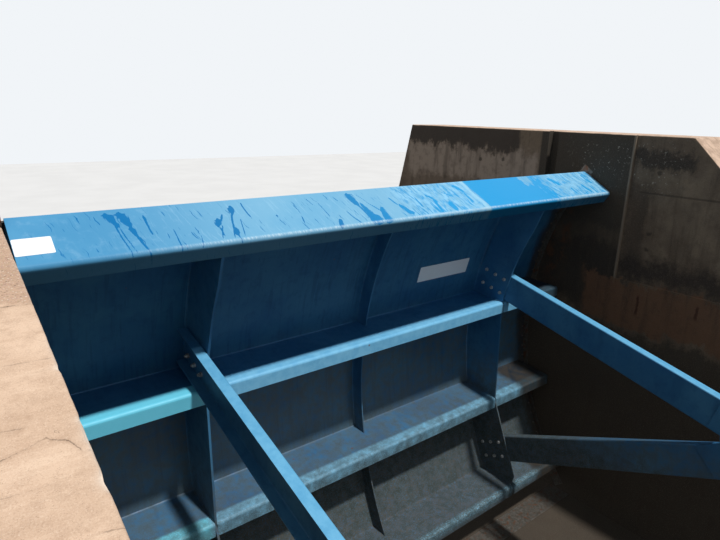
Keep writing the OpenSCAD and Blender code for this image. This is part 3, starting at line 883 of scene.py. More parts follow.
for side, label in ((-1, "left"), (1, "right")):
    verts, faces = [], []
    web = side * (RIB_X + RIB_HALF_T)
    inward = Vector((-side, 0, 0))
    up_arm, low_arm = radial(UPPER_ARM_A), radial(LOWER_ARM_A)
    places = ((HUB_WELD_NEAR, HUB_PLATE_HALF), (HUB_PLATE_FAR, HUB_PLATE_HALF),
              (HUB_PLATE_FAR, -HUB_PLATE_HALF))
    corners = [beside(web, UPPER_ARM_A, *place) for place in places]
    square_up = Vector((0, -up_arm.z, up_arm.y))
    bead_line(verts, faces, corners[0], corners[1], inward, square_up)
    bead_line(verts, faces, corners[1], corners[2], inward, up_arm)
    square_low = Vector((0, -low_arm.z, low_arm.y))
    near = beside(web, LOWER_ARM_A, HUB_WELD_NEAR, -HUB_PLATE_HALF)
    low = beside(web, LOWER_ARM_A, HUB_PLATE_FAR, -HUB_PLATE_HALF)
    high = beside(web, LOWER_ARM_A, *GUSSET_LOW)
    bead_line(verts, faces, near, low, inward, -square_low)
    slant = (high - low).normalized()
    bead_line(verts, faces, low, high, inward, (low_arm - slant * low_arm.dot(slant)).normalized())
    for face, way in ((web - side * 2 * RIB_HALF_T, inward), (web, -inward)):
        path = [(polar(face, HUB_R, a), way, radial(a)) for a in steps(-180, 180, 2.2)]
        bead(verts, faces, path, HUB_LEG)
    add_piece(f"{label}_hub_welds", verts, faces, "gate", sharp=60)

# %% [markdown]
# Two bare white plates are stuck to the gate: a small one on the lip's slope near the left end, and a long
# one on the skin in the right half of the middle bay. They are thin sheets with rounded corners. The long
# one has to follow the skin's curve, so it is built from points that are placed by radius and angle.

# %% Bare plates
def rounded_outline(width, height, radius, count=6):
    points = []
    far_x, far_y = width / 2 - radius, height / 2 - radius
    corners = ((far_x, far_y, 0), (-far_x, far_y, 90), (-far_x, -far_y, 180), (far_x, -far_y, 270))
    for cx, cy, start in corners:
        for k in range(count + 1):
            a = math.radians(start + 90 * k / count)
            points.append((cx + radius * math.cos(a), cy + radius * math.sin(a)))
    return points


PLATE_FOOT, PLATE_T = 0.0002, 0.0015
PLATE_CORNER_R = 0.010
LIP_PLATE_X, LIP_PLATE_DOWN = -3.1215, 0.271
SKIN_PLATE_X, SKIN_PLATE_A = 1.2575, 15.65


def bare_plate(name, width, height, place):
    """place(u, v, lift) gives a point of the surface that the plate lies on."""
    outline = rounded_outline(width, height, PLATE_CORNER_R)
    rows = 10
    verts, faces = [], []
    for lift in (PLATE_FOOT, PLATE_T):
        for shrink in [1 - r / rows for r in range(rows)]:
            verts.extend(place(u * shrink, v * shrink, lift) for u, v in outline)
        verts.append(place(0, 0, lift))
    loop = len(outline)
    layer = rows * loop + 1
    for part in (0, 1):
        for r in range(rows):
            for k in range(loop):
                a, b = part * layer + r * loop + k, part * layer + r * loop + (k + 1) % loop
                if r < rows - 1:
                    face = (a, b, b + loop, a + loop)
                else:
                    face = (a, b, part * layer + layer - 1)
                faces.append(face if part else face[::-1])
    for k in range(loop):
        a, b = k, (k + 1) % loop
        faces.append((a, b, b + layer, a + layer))
    add_piece(name, verts, faces, "gate", sharp=40)


def on_lip(u, v, lift):
    down = LIP_PLATE_DOWN + v
    x = LIP_PLATE_X + u
    a = math.radians(TOP_A)
    y = (SKIN_R + SKIN_T) * math.cos(a) - math.cos(LIP_FALL) * down - math.sin(LIP_FALL) * (LIP_T + lift)
    z = (SKIN_R + SKIN_T) * math.sin(a) - math.sin(LIP_FALL) * down + math.cos(LIP_FALL) * (LIP_T + lift)
    return at(x, y, z + lip_drift(x) * lip_share(down))


def on_skin(u, v, lift):
    return polar(SKIN_PLATE_X + u, SKIN_R - lift, SKIN_PLATE_A + math.degrees(v / SKIN_R))


bare_plate("bare_lip_plate", 0.213, 0.146, on_lip)
bare_plate("bare_skin_plate", 0.845, 0.203, on_skin)

# %% [markdown]
# A procedural material is a small network of nodes. The same few steps come back in every finish: a noise,
# a soft threshold, a mix of two colours, a bump. The Finish class gives each step a short name, so that
# the recipe of a material reads like a list of what happened to the surface. All patterns use the object's
# own coordinates in metres, so their scale is the real one, and they ride with the piece.

# %% A helper for finishes
def screen(r, g, b):
    """A colour as it looks on screen, from 0 to 255, as the linear colour that nodes use."""
    def linear(v):
        v = v / 255
        return v / 12.92 if v <= 0.04045 else ((v + 0.055) / 1.055) ** 2.4
    return (linear(r), linear(g), linear(b), 1)


class Finish:
    def __init__(self, name, metallic=0.0):
        self.material = bpy.data.materials.new(name)
        self.material.use_nodes = True
        self.tree = self.material.node_tree
        self.shader = self.tree.nodes["Principled BSDF"]
        self.shader.inputs["Metallic"].default_value = metallic
        self.place = self.new("ShaderNodeTexCoord").outputs["Object"]
        parts = self.new("ShaderNodeSeparateXYZ")
        self.join(self.place, parts.inputs[0])
        self.x, self.y, self.z = parts.outputs
        self.height = None

    def new(self, kind, **settings):
        node = self.tree.nodes.new(kind)
        for name, value in settings.items():
            setattr(node, name, value)
        return node

    def join(self, value, socket):
        if isinstance(value, bpy.types.NodeSocket):
            self.tree.links.new(value, socket)
        else:
            socket.default_value = value

    def math(self, operation, a, b=0.0):
        node = self.new("ShaderNodeMath", operation=operation)
        for value, socket in zip((a, b), node.inputs):
            self.join(value, socket)
        return node.outputs[0]

    def add(self, a, b):
        return self.math("ADD", a, b)

    def times(self, a, b):
        return self.math("MULTIPLY", a, b)

    def most(self, *values):
        result = values[0]
        for value in values[1:]:
            result = self.math("MAXIMUM", result, value)
        return result

    def scaled(self, x, y, z):
        """The object's own coordinates, stretched along the axes with a small scale."""
        node = self.new("ShaderNodeMapping")
        self.join(self.place, node.inputs["Vector"])
        node.inputs["Scale"].default_value = (x, y, z)
        return node.outputs[0]

    def noise(self, size, detail=4.0, rough=0.55, along=None):
        """Noise whose features are about size metres wide, around 0.5."""
        node = self.new("ShaderNodeTexNoise")
        self.join(along or self.place, node.inputs["Vector"])
        node.inputs["Scale"].default_value = 1 / size
        node.inputs["Detail"].default_value = detail
        node.inputs["Roughness"].default_value = rough
        return node.outputs["Fac"]

    def cells(self, size, output="Distance"):
        """Grains about size metres wide: the distance to the nearest centre, or a colour for each grain."""
        node = self.new("ShaderNodeTexVoronoi")
        self.join(self.place, node.inputs["Vector"])
        node.inputs["Scale"].default_value = 1 / size
        return node.outputs[output]

    def mask(self, value, low, high, strength=1.0):
        """0 below low, 1 above high, and smooth between. With low above high it runs the other way."""
        node = self.new("ShaderNodeMapRange", interpolation_type="SMOOTHSTEP", clamp=True)
        flip = low > high
        self.join(value, node.inputs["Value"])
        node.inputs["From Min"].default_value = min(low, high)
        node.inputs["From Max"].default_value = max(low, high)
        node.inputs["To Min"].default_value = strength if flip else 0.0
        node.inputs["To Max"].default_value = 0.0 if flip else strength
        return node.outputs["Result"]

    def band(self, value, low, high, soft):
        """1 between low and high."""
        rise = self.mask(value, low - soft, low + soft)
        return self.times(rise, self.mask(value, high + soft, high - soft))

    def blend(self, amount, one, two):
        node = self.new("ShaderNodeMix", data_type="RGBA")
        self.join(amount, node.inputs[0])
        self.join(one, node.inputs[6])
        self.join(two, node.inputs[7])
        return node.outputs[2]

    def vector(self, x, y=0.0, z=0.0):
        node = self.new("ShaderNodeCombineXYZ")
        for value, socket in zip((x, y, z), node.inputs):
            self.join(value, socket)
        return node.outputs[0]

    def value(self, name):
        """A number that the vertices store under this name."""
        return self.new("ShaderNodeAttribute", attribute_name=name).outputs["Fac"]

    def relief(self, height, depth):
        """Adds a height of so many metres to the surface's relief."""
        part = self.times(height, depth)
        self.height = part if self.height is None else self.add(self.height, part)

    def edges(self, size):
        """1 where the surface turns within size metres, as on an arris."""
        round_ = self.new("ShaderNodeBevel", samples=4)
        round_.inputs["Radius"].default_value = size
        flat = self.new("ShaderNodeNewGeometry").outputs["Normal"]
        dot = self.new("ShaderNodeVectorMath", operation="DOT_PRODUCT")
        self.join(round_.outputs[0], dot.inputs[0])
        self.join(flat, dot.inputs[1])
        return self.mask(dot.outputs["Value"], 0.985, 0.90)

    def facing_up(self):
        """How far the surface of a piece at rest faces up, from -1 to 1."""
        parts = self.new("ShaderNodeSeparateXYZ")
        self.join(self.new("ShaderNodeTexCoord").outputs["Normal"], parts.inputs[0])
        return parts.outputs["Z"]

    def done(self, colour, roughness):
        self.join(colour, self.shader.inputs["Base Color"])
        self.join(roughness, self.shader.inputs["Roughness"])
        if self.height is not None:
            bump = self.new("ShaderNodeBump")
            bump.inputs["Distance"].default_value = 1.0
            bump.inputs["Strength"].default_value = 1.0
            self.join(self.height, bump.inputs["Height"])
            self.join(bump.outputs[0], self.shader.inputs["Normal"])
        print(self.material.name, "nodes:", len(self.tree.nodes))
        return self.material


# %% [markdown]
# The left coping is sunlit concrete, pale and warm. Its paste is worn, so sand shows through everywhere, and
# near the gate the surface is broken down to coarse sand and small stones. The recipe starts with the
# paste's slow changes of tone, adds grains of three sizes, and then the cracks, joints and dirt.

# %% Pale concrete
def pale_concrete():
    f = Finish("pale_concrete")
    slow = f.noise(0.55, 4, 0.6)
    mottle = f.noise(0.07, 5, 0.65)
    grain = f.noise(0.006, 4, 0.7)
    sand = f.cells(0.006)
    stones = f.cells(0.011)
    gravel = f.mask(f.add(f.y, f.times(f.noise(0.25, 3), 0.25)), -0.54, -0.50)
    gravel = f.times(gravel, f.mask(f.y, 0.45, 0.25, 0.85))
    colour = f.blend(f.mask(slow, 0.35, 0.68), screen(228, 198, 172), screen(209, 178, 152))
    colour = f.blend(f.mask(mottle, 0.42, 0.72, 0.50), colour, screen(188, 158, 134))
    trowel = f.noise(0.06, 6, 0.70, along=f.scaled(0.22, 1, 1))
    colour = f.blend(f.mask(trowel, 0.50, 0.68, 0.40), colour, screen(190, 158, 132))
    colour = f.blend(f.mask(trowel, 0.46, 0.34, 0.40), colour, screen(240, 212, 186))
    colour = f.blend(f.mask(grain, 0.50, 0.70, 0.40), colour, screen(246, 224, 202))
    colour = f.blend(f.mask(grain, 0.46, 0.30, 0.40), colour, screen(158, 128, 106))
    specks = f.times(f.mask(sand, 0.30, 0.12), f.mask(f.noise(0.02, 3), 0.50, 0.62))
    colour = f.blend(f.times(specks, 0.50), colour, screen(132, 106, 88))
    tone = f.cells(0.011, output="Color")
    dull = f.blend(0.90, tone, screen(190, 158, 134))
    picked = f.new("ShaderNodeSeparateColor")
    f.join(tone, picked.inputs[0])
    stone_colour = f.blend(f.mask(picked.outputs[0], 0.80, 0.86), dull, screen(238, 222, 204))
    stone_colour = f.blend(f.mask(picked.outputs[1], 0.86, 0.92), stone_colour, screen(96, 76, 62))
    stone_mask = f.times(gravel, f.mask(stones, 0.50, 0.36))
    colour = f.blend(f.times(gravel, 0.65), colour, screen(184, 150, 126))
    colour = f.blend(f.times(stone_mask, 0.60), colour, stone_colour)
    coarse = f.times(gravel, f.mask(f.noise(0.016, 5, 0.75), 0.52, 0.66, 0.55))
    colour = f.blend(coarse, colour, screen(128, 100, 82))
    wobble = f.times(f.add(f.noise(0.02, 5, 0.7), -0.5), 0.014)
    away = f.math("ABSOLUTE", f.add(f.value("crack_side"), wobble))
    broken = f.times(f.value("crack_on"), f.mask(f.noise(0.07, 4, 0.65), 0.36, 0.58))
    crack = f.times(f.mask(away, 0.0030, 0.0006), broken)
    crack_dirt = f.times(f.mask(away, 0.016, 0.002), f.value("crack_on"))
    colour = f.blend(f.times(crack_dirt, 0.30), colour, screen(160, 132, 110))
    colour = f.blend(crack, colour, screen(84, 62, 48))
    colour = f.blend(f.times(f.value("bare"), 0.75), colour, screen(238, 226, 212))
    face = f.mask(f.facing_up(), 0.6, 0.3)
    streak = f.noise(0.34, 5, 0.62, along=f.scaled(1, 1, 0.22))
    colour = f.blend(f.times(face, f.mask(streak, 0.44, 0.66, 0.5)), colour, screen(150, 130, 110))
    low = f.mask(f.add(f.z, f.times(f.noise(0.5, 4), 0.4)), 2.35, 1.95)
    colour = f.blend(f.times(low, 0.62), colour, screen(96, 86, 66))
    f.relief(mottle, 0.0016)
    f.relief(grain, 0.0011)
    f.relief(f.mask(sand, 0.45, 0.1), 0.0005)
    f.relief(f.times(gravel, f.mask(stones, 0.62, 0.2)), 0.0020)
    f.relief(crack, -0.003)
    return f.done(colour, 0.92)


# %% [markdown]
# The right wall is in its own shade and has never been cleaned. Black moss hangs from its top, lime has run
# from old tie holes, rust has run from two steel bars, and a brown film covers the damp part low down.
# A list gives each zone its stretch of the wall, its heights, how soft its border is, how strongly it
# covers, and its colour. Besides those stains it holds two dark bands on the set-back panel, one beside its
# step at
# 2.49 m and one just above its ledge at 0.86 m. Noise breaks up the borders. A pale line runs down the
# step's edge.

# %% Stained concrete
WALL_ZONES = [
    ((3.78, 6.60), (1.20, 2.10), 0.25, 0.70, (134, 116, 100)),
    ((3.84, 6.45), (1.86, 2.34), 0.08, 0.90, (188, 168, 150)),
    ((4.15, 6.70), (2.34, 3.00), 0.05, 0.93, (60, 52, 46)),
    ((2.49, 3.80), (1.42, 3.00), 0.15, 0.94, (50, 46, 39)),
    ((2.49, 3.62), (0.30, 1.42), 0.25, 0.93, (24, 21, 18)),
    ((2.22, 2.48), (0.90, 2.12), 0.20, 0.75, (62, 51, 42)),
    ((1.80, 2.49), (2.28, 2.48), 0.05, 0.92, (40, 34, 29)),
    ((-1.2, 2.49), (0.90, 1.16), 0.12, 0.92, (34, 27, 24)),
    ((-1.2, 2.90), (0.26, 0.86), 0.03, 0.92, (112, 80, 58)),
    ((-1.2, 6.70), (-4.0, 0.22), 0.10, 0.92, (54, 48, 40)),
]


def stained_concrete():
    f = Finish("stained_concrete")
    up = f.add(f.z, -HINGE.z)
    stream = f.add(f.y, -HINGE.y)
    slow = f.noise(0.6, 5, 0.6)
    mottle = f.noise(0.12, 5, 0.65)
    grain = f.noise(0.010, 4, 0.7)
    streaks = f.noise(0.13, 5, 0.62, along=f.scaled(1, 1, 0.12))
    colour = f.blend(f.mask(slow, 0.34, 0.66), screen(136, 118, 98), screen(108, 92, 76))
    rag = f.add(f.noise(0.30, 6, 0.70, along=f.scaled(1, 1, 0.5)), -0.5)
    fray = f.add(f.noise(0.07, 4, 0.65), -0.5)
    along = f.add(stream, f.add(f.times(rag, 0.35), f.times(fray, 0.10)))
    high = f.add(up, f.add(f.times(rag, 0.55), f.times(fray, 0.22)))
    for zone, low_high, soft, strength, shade in WALL_ZONES:
        sharp = strength > 0.93
        near = f.band(stream if sharp else along, zone[0], zone[1], 0.015 if sharp else 0.06)
        cover = f.times(near, f.band(high, low_high[0], low_high[1], soft))
        colour = f.blend(f.times(cover, strength), colour, screen(*shade))
    colour = f.blend(f.mask(mottle, 0.48, 0.72, 0.40), colour, screen(62, 52, 42))
    colour = f.blend(f.mask(streaks, 0.49, 0.66, 0.45), colour, screen(60, 50, 40))
    colour = f.blend(f.mask(grain, 0.50, 0.72, 0.22), colour, screen(170, 154, 136))
    colour = f.blend(f.mask(grain, 0.46, 0.30, 0.35), colour, screen(44, 37, 30))
    lime = f.times(f.mask(f.noise(0.03, 5, 0.7), 0.60, 0.68), f.band(high, 2.0, 2.6, 0.12))
    lime = f.times(lime, f.band(along, 1.95, 3.3, 0.2))
    colour = f.blend(f.times(lime, 0.8), colour, screen(190, 182, 168))
    rim = f.times(f.mask(f.noise(0.14, 5, 0.7), 0.44, 0.60), f.band(along, 3.22, 3.56, 0.08))
    rim = f.times(rim, f.band(high, 0.75, 1.75, 0.2))
    colour = f.blend(f.times(rim, 0.60), colour, screen(96, 58, 32))
    line = f.times(f.band(up, 1.962, 1.985, 0.006), f.band(stream, 1.4, 2.36, 0.03))
    colour = f.blend(f.times(line, 0.55), colour, screen(60, 50, 42))
    ridge = f.times(f.band(stream, 2.490, 2.515, 0.006), f.band(high, 0.86, 2.7, 0.1))
    colour = f.blend(f.times(ridge, 0.7), colour, screen(150, 134, 116))
    for at_stream, low, high, half in ((2.16, 0.46, 0.70, 0.020), (1.48, 0.60, 0.76, 0.024)):
        run = f.math("ABSOLUTE", f.add(f.add(stream, -at_stream), f.times(fray, 0.05)))
        rust = f.times(f.mask(run, half, half * 0.3), f.band(up, low, high, 0.03))
        colour = f.blend(f.times(rust, 0.85), colour, screen(58, 30, 18))
    for at_stream, at_up in ((2.17, 1.49), (2.18, 1.29), (4.85, 2.18), (4.43, 2.21), (2.16, 2.22)):
        away = f.new("ShaderNodeVectorMath", operation="LENGTH")
        f.join(f.vector(f.add(stream, -at_stream), f.add(up, -at_up)), away.inputs[0])
        spot = f.mask(f.add(away.outputs["Value"], f.times(fray, 0.08)), 0.040, 0.014)
        colour = f.blend(f.times(spot, 0.75), colour, screen(48, 40, 32))
    dusty = f.blend(f.mask(mottle, 0.40, 0.66), screen(214, 186, 164), screen(176, 150, 130))
    colour = f.blend(f.times(f.mask(f.facing_up(), 0.30, 0.60), f.mask(up, 1.2, 1.4)), colour, dusty)
    f.relief(mottle, 0.0022)
    f.relief(grain, 0.0014)
    f.relief(line, -0.004)
    return f.done(colour, 0.9)


# %% [markdown]
# The gate's paint is a blue gloss that has chalked in the sun. It is not one blue: where the sun falls past
# the lip, on the beams' fronts and on faces that look up, the paint is painted paler, partly faded by the
# sun and partly painted sunlight, and the plates in the lip's shade keep their depth. Rain has drawn fine
# streaks down every face, and low down a brown film of silt and algae has dried on it. Beside the right wall
# the paint is darkened, a painted shadow of the wall and partly slime where nothing dries. Rust starts on
# edges, where a coat is thinnest.

# %% Blue paint
FILM_FULL = -1.05


def blue_paint(name, base, faded, deep, tide_from, film_from, streak_amount, gloss, shadow_and_slime_from,
               open_front=False):
    """tide_from and film_from are heights; the last argument is the place along the gate where the painted
    shadow of the right wall and the slime begin.
    """
    f = Finish(name)
    f.shader.inputs["Specular IOR Level"].default_value = 0.35
    up = f.add(f.z, -HINGE.z)
    slow = f.noise(0.7, 4, 0.6)
    mottle = f.noise(0.09, 5, 0.65)
    fine = f.noise(0.012, 4, 0.65)
    runs = f.noise(0.045, 5, 0.6, along=f.scaled(1, 0.25, 0.06))
    colour = f.blend(f.mask(slow, 0.34, 0.66), base, faded)
    colour = f.blend(f.mask(mottle, 0.48, 0.74, 0.35), colour, deep)
    colour = f.blend(f.mask(runs, 0.50, 0.68, streak_amount), colour, deep)
    colour = f.blend(f.mask(runs, 0.44, 0.28, streak_amount * 0.8), colour, faded)
    down_stream = f.new("ShaderNodeVectorMath", operation="LENGTH")
    f.join(f.vector(f.add(f.y, -HINGE.y), up), down_stream.inputs[0])
    from_hinge = down_stream.outputs["Value"]
    # Painted sunlight, partly real fading: the paint is paler where the sun falls past the lip, on the
    # beams' fronts and the tops of the upper arms.
    sun_faded_and_lit = f.mask(from_hinge, 3.40, 3.36, 0.9)
    if open_front:
        faded_and_sunlit_blue = f.blend(f.mask(mottle, 0.35, 0.70), screen(132, 204, 243), screen(112, 188, 232))
        # Painted sunlight: the fronts of the beams in the left bay get a bright sunlit teal.
        painted_sunlit_teal = f.times(f.mask(f.x, -1.97, -2.03, 0.8), f.mask(from_hinge, 2.4, 2.6))
        faded_and_sunlit_blue = f.blend(painted_sunlit_teal, faded_and_sunlit_blue, screen(114, 228, 255))
    else:
        faded_and_sunlit_blue = f.blend(f.mask(mottle, 0.35, 0.70), screen(112, 184, 224), screen(92, 168, 212))
        arm = math.radians(UPPER_ARM_A)
        over_arm = f.add(f.times(f.add(f.y, -HINGE.y), -math.sin(arm)), f.times(up, math.cos(arm)))
        sun_faded_and_lit = f.times(sun_faded_and_lit, f.mask(f.facing_up(), 0.35, 0.85))
        sun_faded_and_lit = f.times(sun_faded_and_lit, f.mask(over_arm, 0.05, 0.10))
    colour = f.blend(sun_faded_and_lit, colour, faded_and_sunlit_blue)
    ragged = f.times(f.add(f.noise(0.22, 5, 0.65, along=f.scaled(1, 1, 0.4)), -0.5), 0.55)
    film = f.mask(f.add(up, ragged), film_from, FILM_FULL)
    tide = f.mask(f.add(up, ragged), tide_from, tide_from - 0.6)
    tide = f.times(tide, f.mask(mottle, 0.20, 0.66, 0.55))
    colour = f.blend(tide, colour, screen(94, 100, 86))
    silt = f.blend(f.mask(mottle, 0.35, 0.65), screen(84, 76, 54), screen(54, 56, 44))
    colour = f.blend(f.times(film, f.mask(fine, 0.30, 0.55, 0.82)), colour, silt)
    edge = f.times(f.edges(0.004), f.mask(f.noise(0.05, 5, 0.7), 0.52, 0.62))
    colour = f.blend(f.times(edge, 0.7), colour, screen(104, 62, 38))
    spots = f.times(f.mask(f.cells(0.16), 0.10, 0.04), f.mask(f.noise(0.5, 3), 0.56, 0.62))
    colour = f.blend(f.times(spots, 0.8), colour, screen(112, 64, 36))
    # Painted shadow of the right wall, partly slime where nothing dries: the paint beside the right wall is
    # darkened below a height.
    wall_shadow_and_slime = f.mask(f.add(f.x, f.times(ragged, 0.5)), shadow_and_slime_from, shadow_and_slime_from + 0.16, 0.88)
    wall_shadow_and_slime = f.times(wall_shadow_and_slime, f.mask(up, 1.95, 1.70))
    dark = f.blend(f.mask(mottle, 0.4, 0.6), screen(34, 30, 24), screen(52, 42, 30))
    colour = f.blend(wall_shadow_and_slime, colour, dark)
    rough = f.add(f.mask(mottle, 0.3, 0.7, 0.14), gloss)
    rough = f.add(rough, f.times(film, 0.35))
    f.relief(fine, 0.00025)
    f.relief(f.times(film, mottle), 0.0012)
    f.relief(spots, 0.0006)
    return f.done(colour, rough)


# %% [markdown]
# The lip is the one plate that lies in full sun, and it is often wet. Dry paint there is pale and chalky.
# Where a drop has just run, the same paint is deep and glossy. The runs need a coordinate of their
# own, the distance that a drop has gone: down the slope, over the fold and down the folded edge. Noise that
# is stretched along that distance makes small runs, and the large ones come from the vertices.

# %% Lip paint
def lip_finish():
    f = Finish("lip_paint")
    top = math.radians(TOP_A)
    back = f.add((SKIN_R + SKIN_T) * math.cos(top) + HINGE.y, f.times(f.y, -1))
    under = f.add((SKIN_R + SKIN_T) * math.sin(top) + HINGE.z, f.times(f.z, -1))
    slope = f.add(f.times(back, math.cos(LIP_FALL)), f.times(under, math.sin(LIP_FALL)))
    drop = f.add(f.times(under, math.cos(LIP_FALL)), f.times(back, -math.sin(LIP_FALL)))
    gone = f.add(slope, f.math("MAXIMUM", drop, 0.0))
    bent = f.add(f.x, f.times(f.add(f.noise(0.10, 3), -0.5), 0.045))
    leaning = f.add(bent, f.times(gone, -0.20))
    runs = f.noise(0.014, 2, 0.5, along=f.vector(leaning, f.times(gone, 0.06)))
    fray = f.add(f.noise(0.012, 3, 0.6, along=f.vector(bent, f.times(gone, 0.25))), -0.5)
    wet = f.mask(f.add(f.value("wet_run"), f.times(fray, 1.6)), 0.36, 0.62)
    pool_edge = f.add(f.add(f.x, f.times(gone, -0.14)), f.times(f.add(runs, -0.5), 0.10))
    blots = f.noise(0.055, 4, 0.65, along=f.vector(leaning, f.times(gone, 0.45)))
    far_edge = f.add(pool_edge, f.times(f.add(blots, -0.5), 1.1))
    pool = f.times(f.mask(pool_edge, 0.855, 0.875), f.mask(far_edge, 2.22, 2.08))
    patch = f.new("ShaderNodeVectorMath", operation="LENGTH")
    f.join(f.vector(f.add(f.x, -1.88), f.add(gone, -0.03)), patch.inputs[0])
    dried = f.mask(f.add(patch.outputs["Value"], f.times(f.add(blots, -0.5), 0.35)), 0.12, 0.09, 0.9)
    pool = f.times(pool, f.math("SUBTRACT", 1.0, dried))
    damp = f.add(f.band(f.x, -0.15, 0.85, 0.15), f.mask(f.x, 2.05, 2.35))
    seldom = f.add(0.66, f.times(damp, -0.10))
    small = f.mask(f.math("SUBTRACT", runs, seldom), 0.0, 0.03)
    small = f.most(small, f.times(damp, f.mask(blots, 0.54, 0.62, 0.75)))
    wet = f.most(wet, pool, small)
    slow = f.noise(0.5, 4, 0.6)
    mottle = f.noise(0.08, 5, 0.65)
    fine = f.noise(0.010, 4, 0.65)
    dry = f.blend(f.mask(f.x, -2.9, -1.3), screen(78, 150, 196), screen(124, 182, 216))
    dry = f.blend(f.mask(slow, 0.40, 0.70, 0.45), dry, screen(98, 168, 210))
    dry = f.blend(f.mask(mottle, 0.50, 0.75, 0.30), dry, screen(140, 190, 222))
    chalk = f.times(f.mask(runs, 0.42, 0.30), f.mask(f.x, -3.4, -1.2, 0.40))
    dry = f.blend(chalk, dry, screen(154, 202, 230))
    dry = f.blend(f.times(damp, f.mask(mottle, 0.35, 0.65, 0.7)), dry, screen(150, 208, 242))
    deep = f.blend(f.mask(f.x, -1.4, 0.7), screen(0, 112, 176), screen(0, 154, 220))
    colour = f.blend(f.times(wet, 0.92), dry, deep)
    rim = f.band(f.add(leaning, f.times(gone, 0.06)), 0.79, 0.85, 0.02)
    colour = f.blend(f.times(rim, 0.5), colour, screen(168, 218, 242))
    # Painted highlight: a pale line along the start of the fold, broken up by the runs.
    painted_fold_highlight = f.times(f.mask(f.x, -3.0, -1.5), f.band(gone, 0.418, 0.436, 0.012))
    painted_fold_highlight = f.times(painted_fold_highlight, f.add(f.mask(runs, 0.46, 0.62, 0.5), 0.25))
    colour = f.blend(painted_fold_highlight, colour, screen(214, 238, 250))
    # Painted shade: the folded-down edge is darker, and darker still towards the right.
    painted_shade_downstand = f.blend(f.mask(f.x, -1.6, 1.2), screen(60, 102, 128), screen(14, 78, 112))
    colour = f.blend(f.mask(drop, 0.006, 0.034, 0.85), colour, painted_shade_downstand)
    edge = f.times(f.edges(0.004), f.mask(f.noise(0.05, 5, 0.7), 0.58, 0.66))
    colour = f.blend(f.times(edge, 0.5), colour, screen(104, 66, 42))
    f.shader.inputs["Specular IOR Level"].default_value = 0.08
    f.relief(fine, 0.00015)
    f.relief(wet, 0.0002)
    return f.done(colour, f.add(0.46, f.times(wet, -0.20)))


# %% [markdown]
# Bare steel, black rubber and the two white plates need less: a few tones, a fine relief and some dirt.

# %% Steel, rubber and white plates
def bare_steel(name, base, rust_amount, metallic):
    f = Finish(name, metallic=metallic)
    mottle = f.noise(0.03, 5, 0.65)
    fine = f.noise(0.004, 3, 0.6)
    rust = f.mask(f.noise(0.06, 5, 0.7), 0.62 - rust_amount * 0.2, 0.74 - rust_amount * 0.2)
    colour = f.blend(f.mask(mottle, 0.35, 0.68), base, screen(118, 116, 112))
    colour = f.blend(f.times(rust, 0.85), colour, screen(110, 66, 38))
    f.relief(fine, 0.0002)
    f.relief(rust, 0.0004)
    return f.done(colour, f.add(f.mask(mottle, 0.3, 0.7, 0.2), 0.34))


def black_rubber():
    f = Finish("black_rubber")
    mottle = f.noise(0.05, 4, 0.6)
    colour = f.blend(f.mask(mottle, 0.35, 0.7), screen(30, 30, 30), screen(62, 60, 54))
    f.relief(f.noise(0.003, 3, 0.6), 0.0002)
    return f.done(colour, 0.72)


def white_plate():
    f = Finish("white_plate")
    dirt = f.noise(0.06, 5, 0.65)
    fine = f.noise(0.008, 4, 0.6)
    colour = f.blend(f.mask(dirt, 0.55, 0.85, 0.15), screen(250, 252, 255), screen(206, 206, 200))
    f.relief(fine, 0.0001)
    return f.done(colour, 0.30)


def floor_finish():
    """Pale to the camera and in reflections, and a dull ground that throws little light to other rays."""
    f = Finish("studio_floor")
    pale = f.blend(f.mask(f.noise(3.0, 3), 0.3, 0.7), (0.72, 0.72, 0.72, 1), (0.76, 0.76, 0.76, 1))
    rays = f.new("ShaderNodeLightPath").outputs
    seen = f.most(rays["Is Camera Ray"], rays["Is Glossy Ray"], rays["Is Transmission Ray"])
    return f.done(f.blend(seen, (0.16, 0.15, 0.14, 1), pale), 0.95)

# %% [markdown]
# Last, each finish goes on its pieces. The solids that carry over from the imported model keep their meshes
# and only get a better material in their slot.

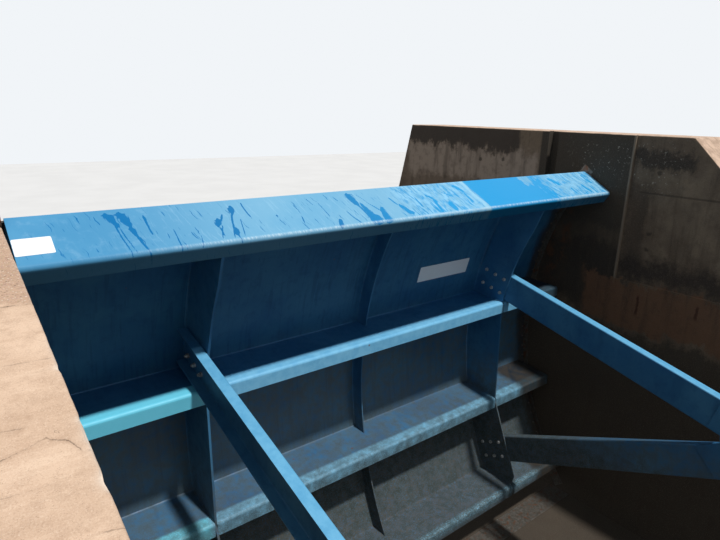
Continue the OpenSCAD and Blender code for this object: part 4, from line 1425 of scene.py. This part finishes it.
# %% Finishes on their pieces
lip_paint = lip_finish()
beam_paint = blue_paint("beam_paint", screen(36, 98, 146), screen(52, 116, 162), screen(24, 76, 124),
                        tide_from=0.05, film_from=-0.55, streak_amount=0.35, gloss=0.36, shadow_and_slime_from=2.42,
                        open_front=True)
skin_paint = blue_paint("skin_paint", screen(34, 92, 136), screen(52, 110, 148), screen(20, 66, 106),
                        tide_from=0.70, film_from=-0.35, streak_amount=0.40, gloss=0.38, shadow_and_slime_from=3.00)
rib_paint = blue_paint("rib_paint", screen(44, 104, 150), screen(64, 124, 164), screen(24, 74, 116),
                       tide_from=0.05, film_from=-0.40, streak_amount=0.30, gloss=0.38, shadow_and_slime_from=3.30)
pale_wall = pale_concrete()
dark_wall = stained_concrete()
zinc = bare_steel("zinc_steel", screen(196, 198, 198), 0.0, 0.25)
grimy_steel = bare_steel("grimy_steel", screen(62, 54, 44), 0.3, 0.1)
worn_steel = bare_steel("worn_steel", screen(88, 84, 76), 0.5, 0.5)
rubber = black_rubber()
white = white_plate()
floor_mesh.materials.append(floor_finish())

STEEL_NODES = ("left_seal_bar", "right_seal_bar", "bottom_seal_bar", "left_pin", "right_pin", "sill_beam",
               "left_seal_track", "right_seal_track")
RUBBER_NODES = ("left_side_seal", "right_side_seal", "bottom_seal")


def finish_of(name):
    if "left_wall" in name:
        return pale_wall
    if "right_wall" in name or name == "floor_slab":
        return dark_wall
    if name in RUBBER_NODES:
        return rubber
    if name in STEEL_NODES:
        return worn_steel
    if "seal_bolts" in name:
        return grimy_steel
    if "bolts" in name or "keeper" in name:
        return zinc
    if name in ("folded_lip", "crest_lip"):
        return lip_paint
    if name in ("bare_lip_plate", "bare_skin_plate"):
        return white
    if "beam" in name or "girder" in name or "edge_bar" in name:
        return beam_paint
    if name == "skin_plate":
        return skin_paint
    return rib_paint


dressed = 0
for piece in scene.objects:
    if piece.type == "MESH" and piece is not floor:
        piece.data.materials.clear()
        piece.data.materials.append(finish_of(piece.name))
        dressed += 1
print("pieces with a finish:", dressed)
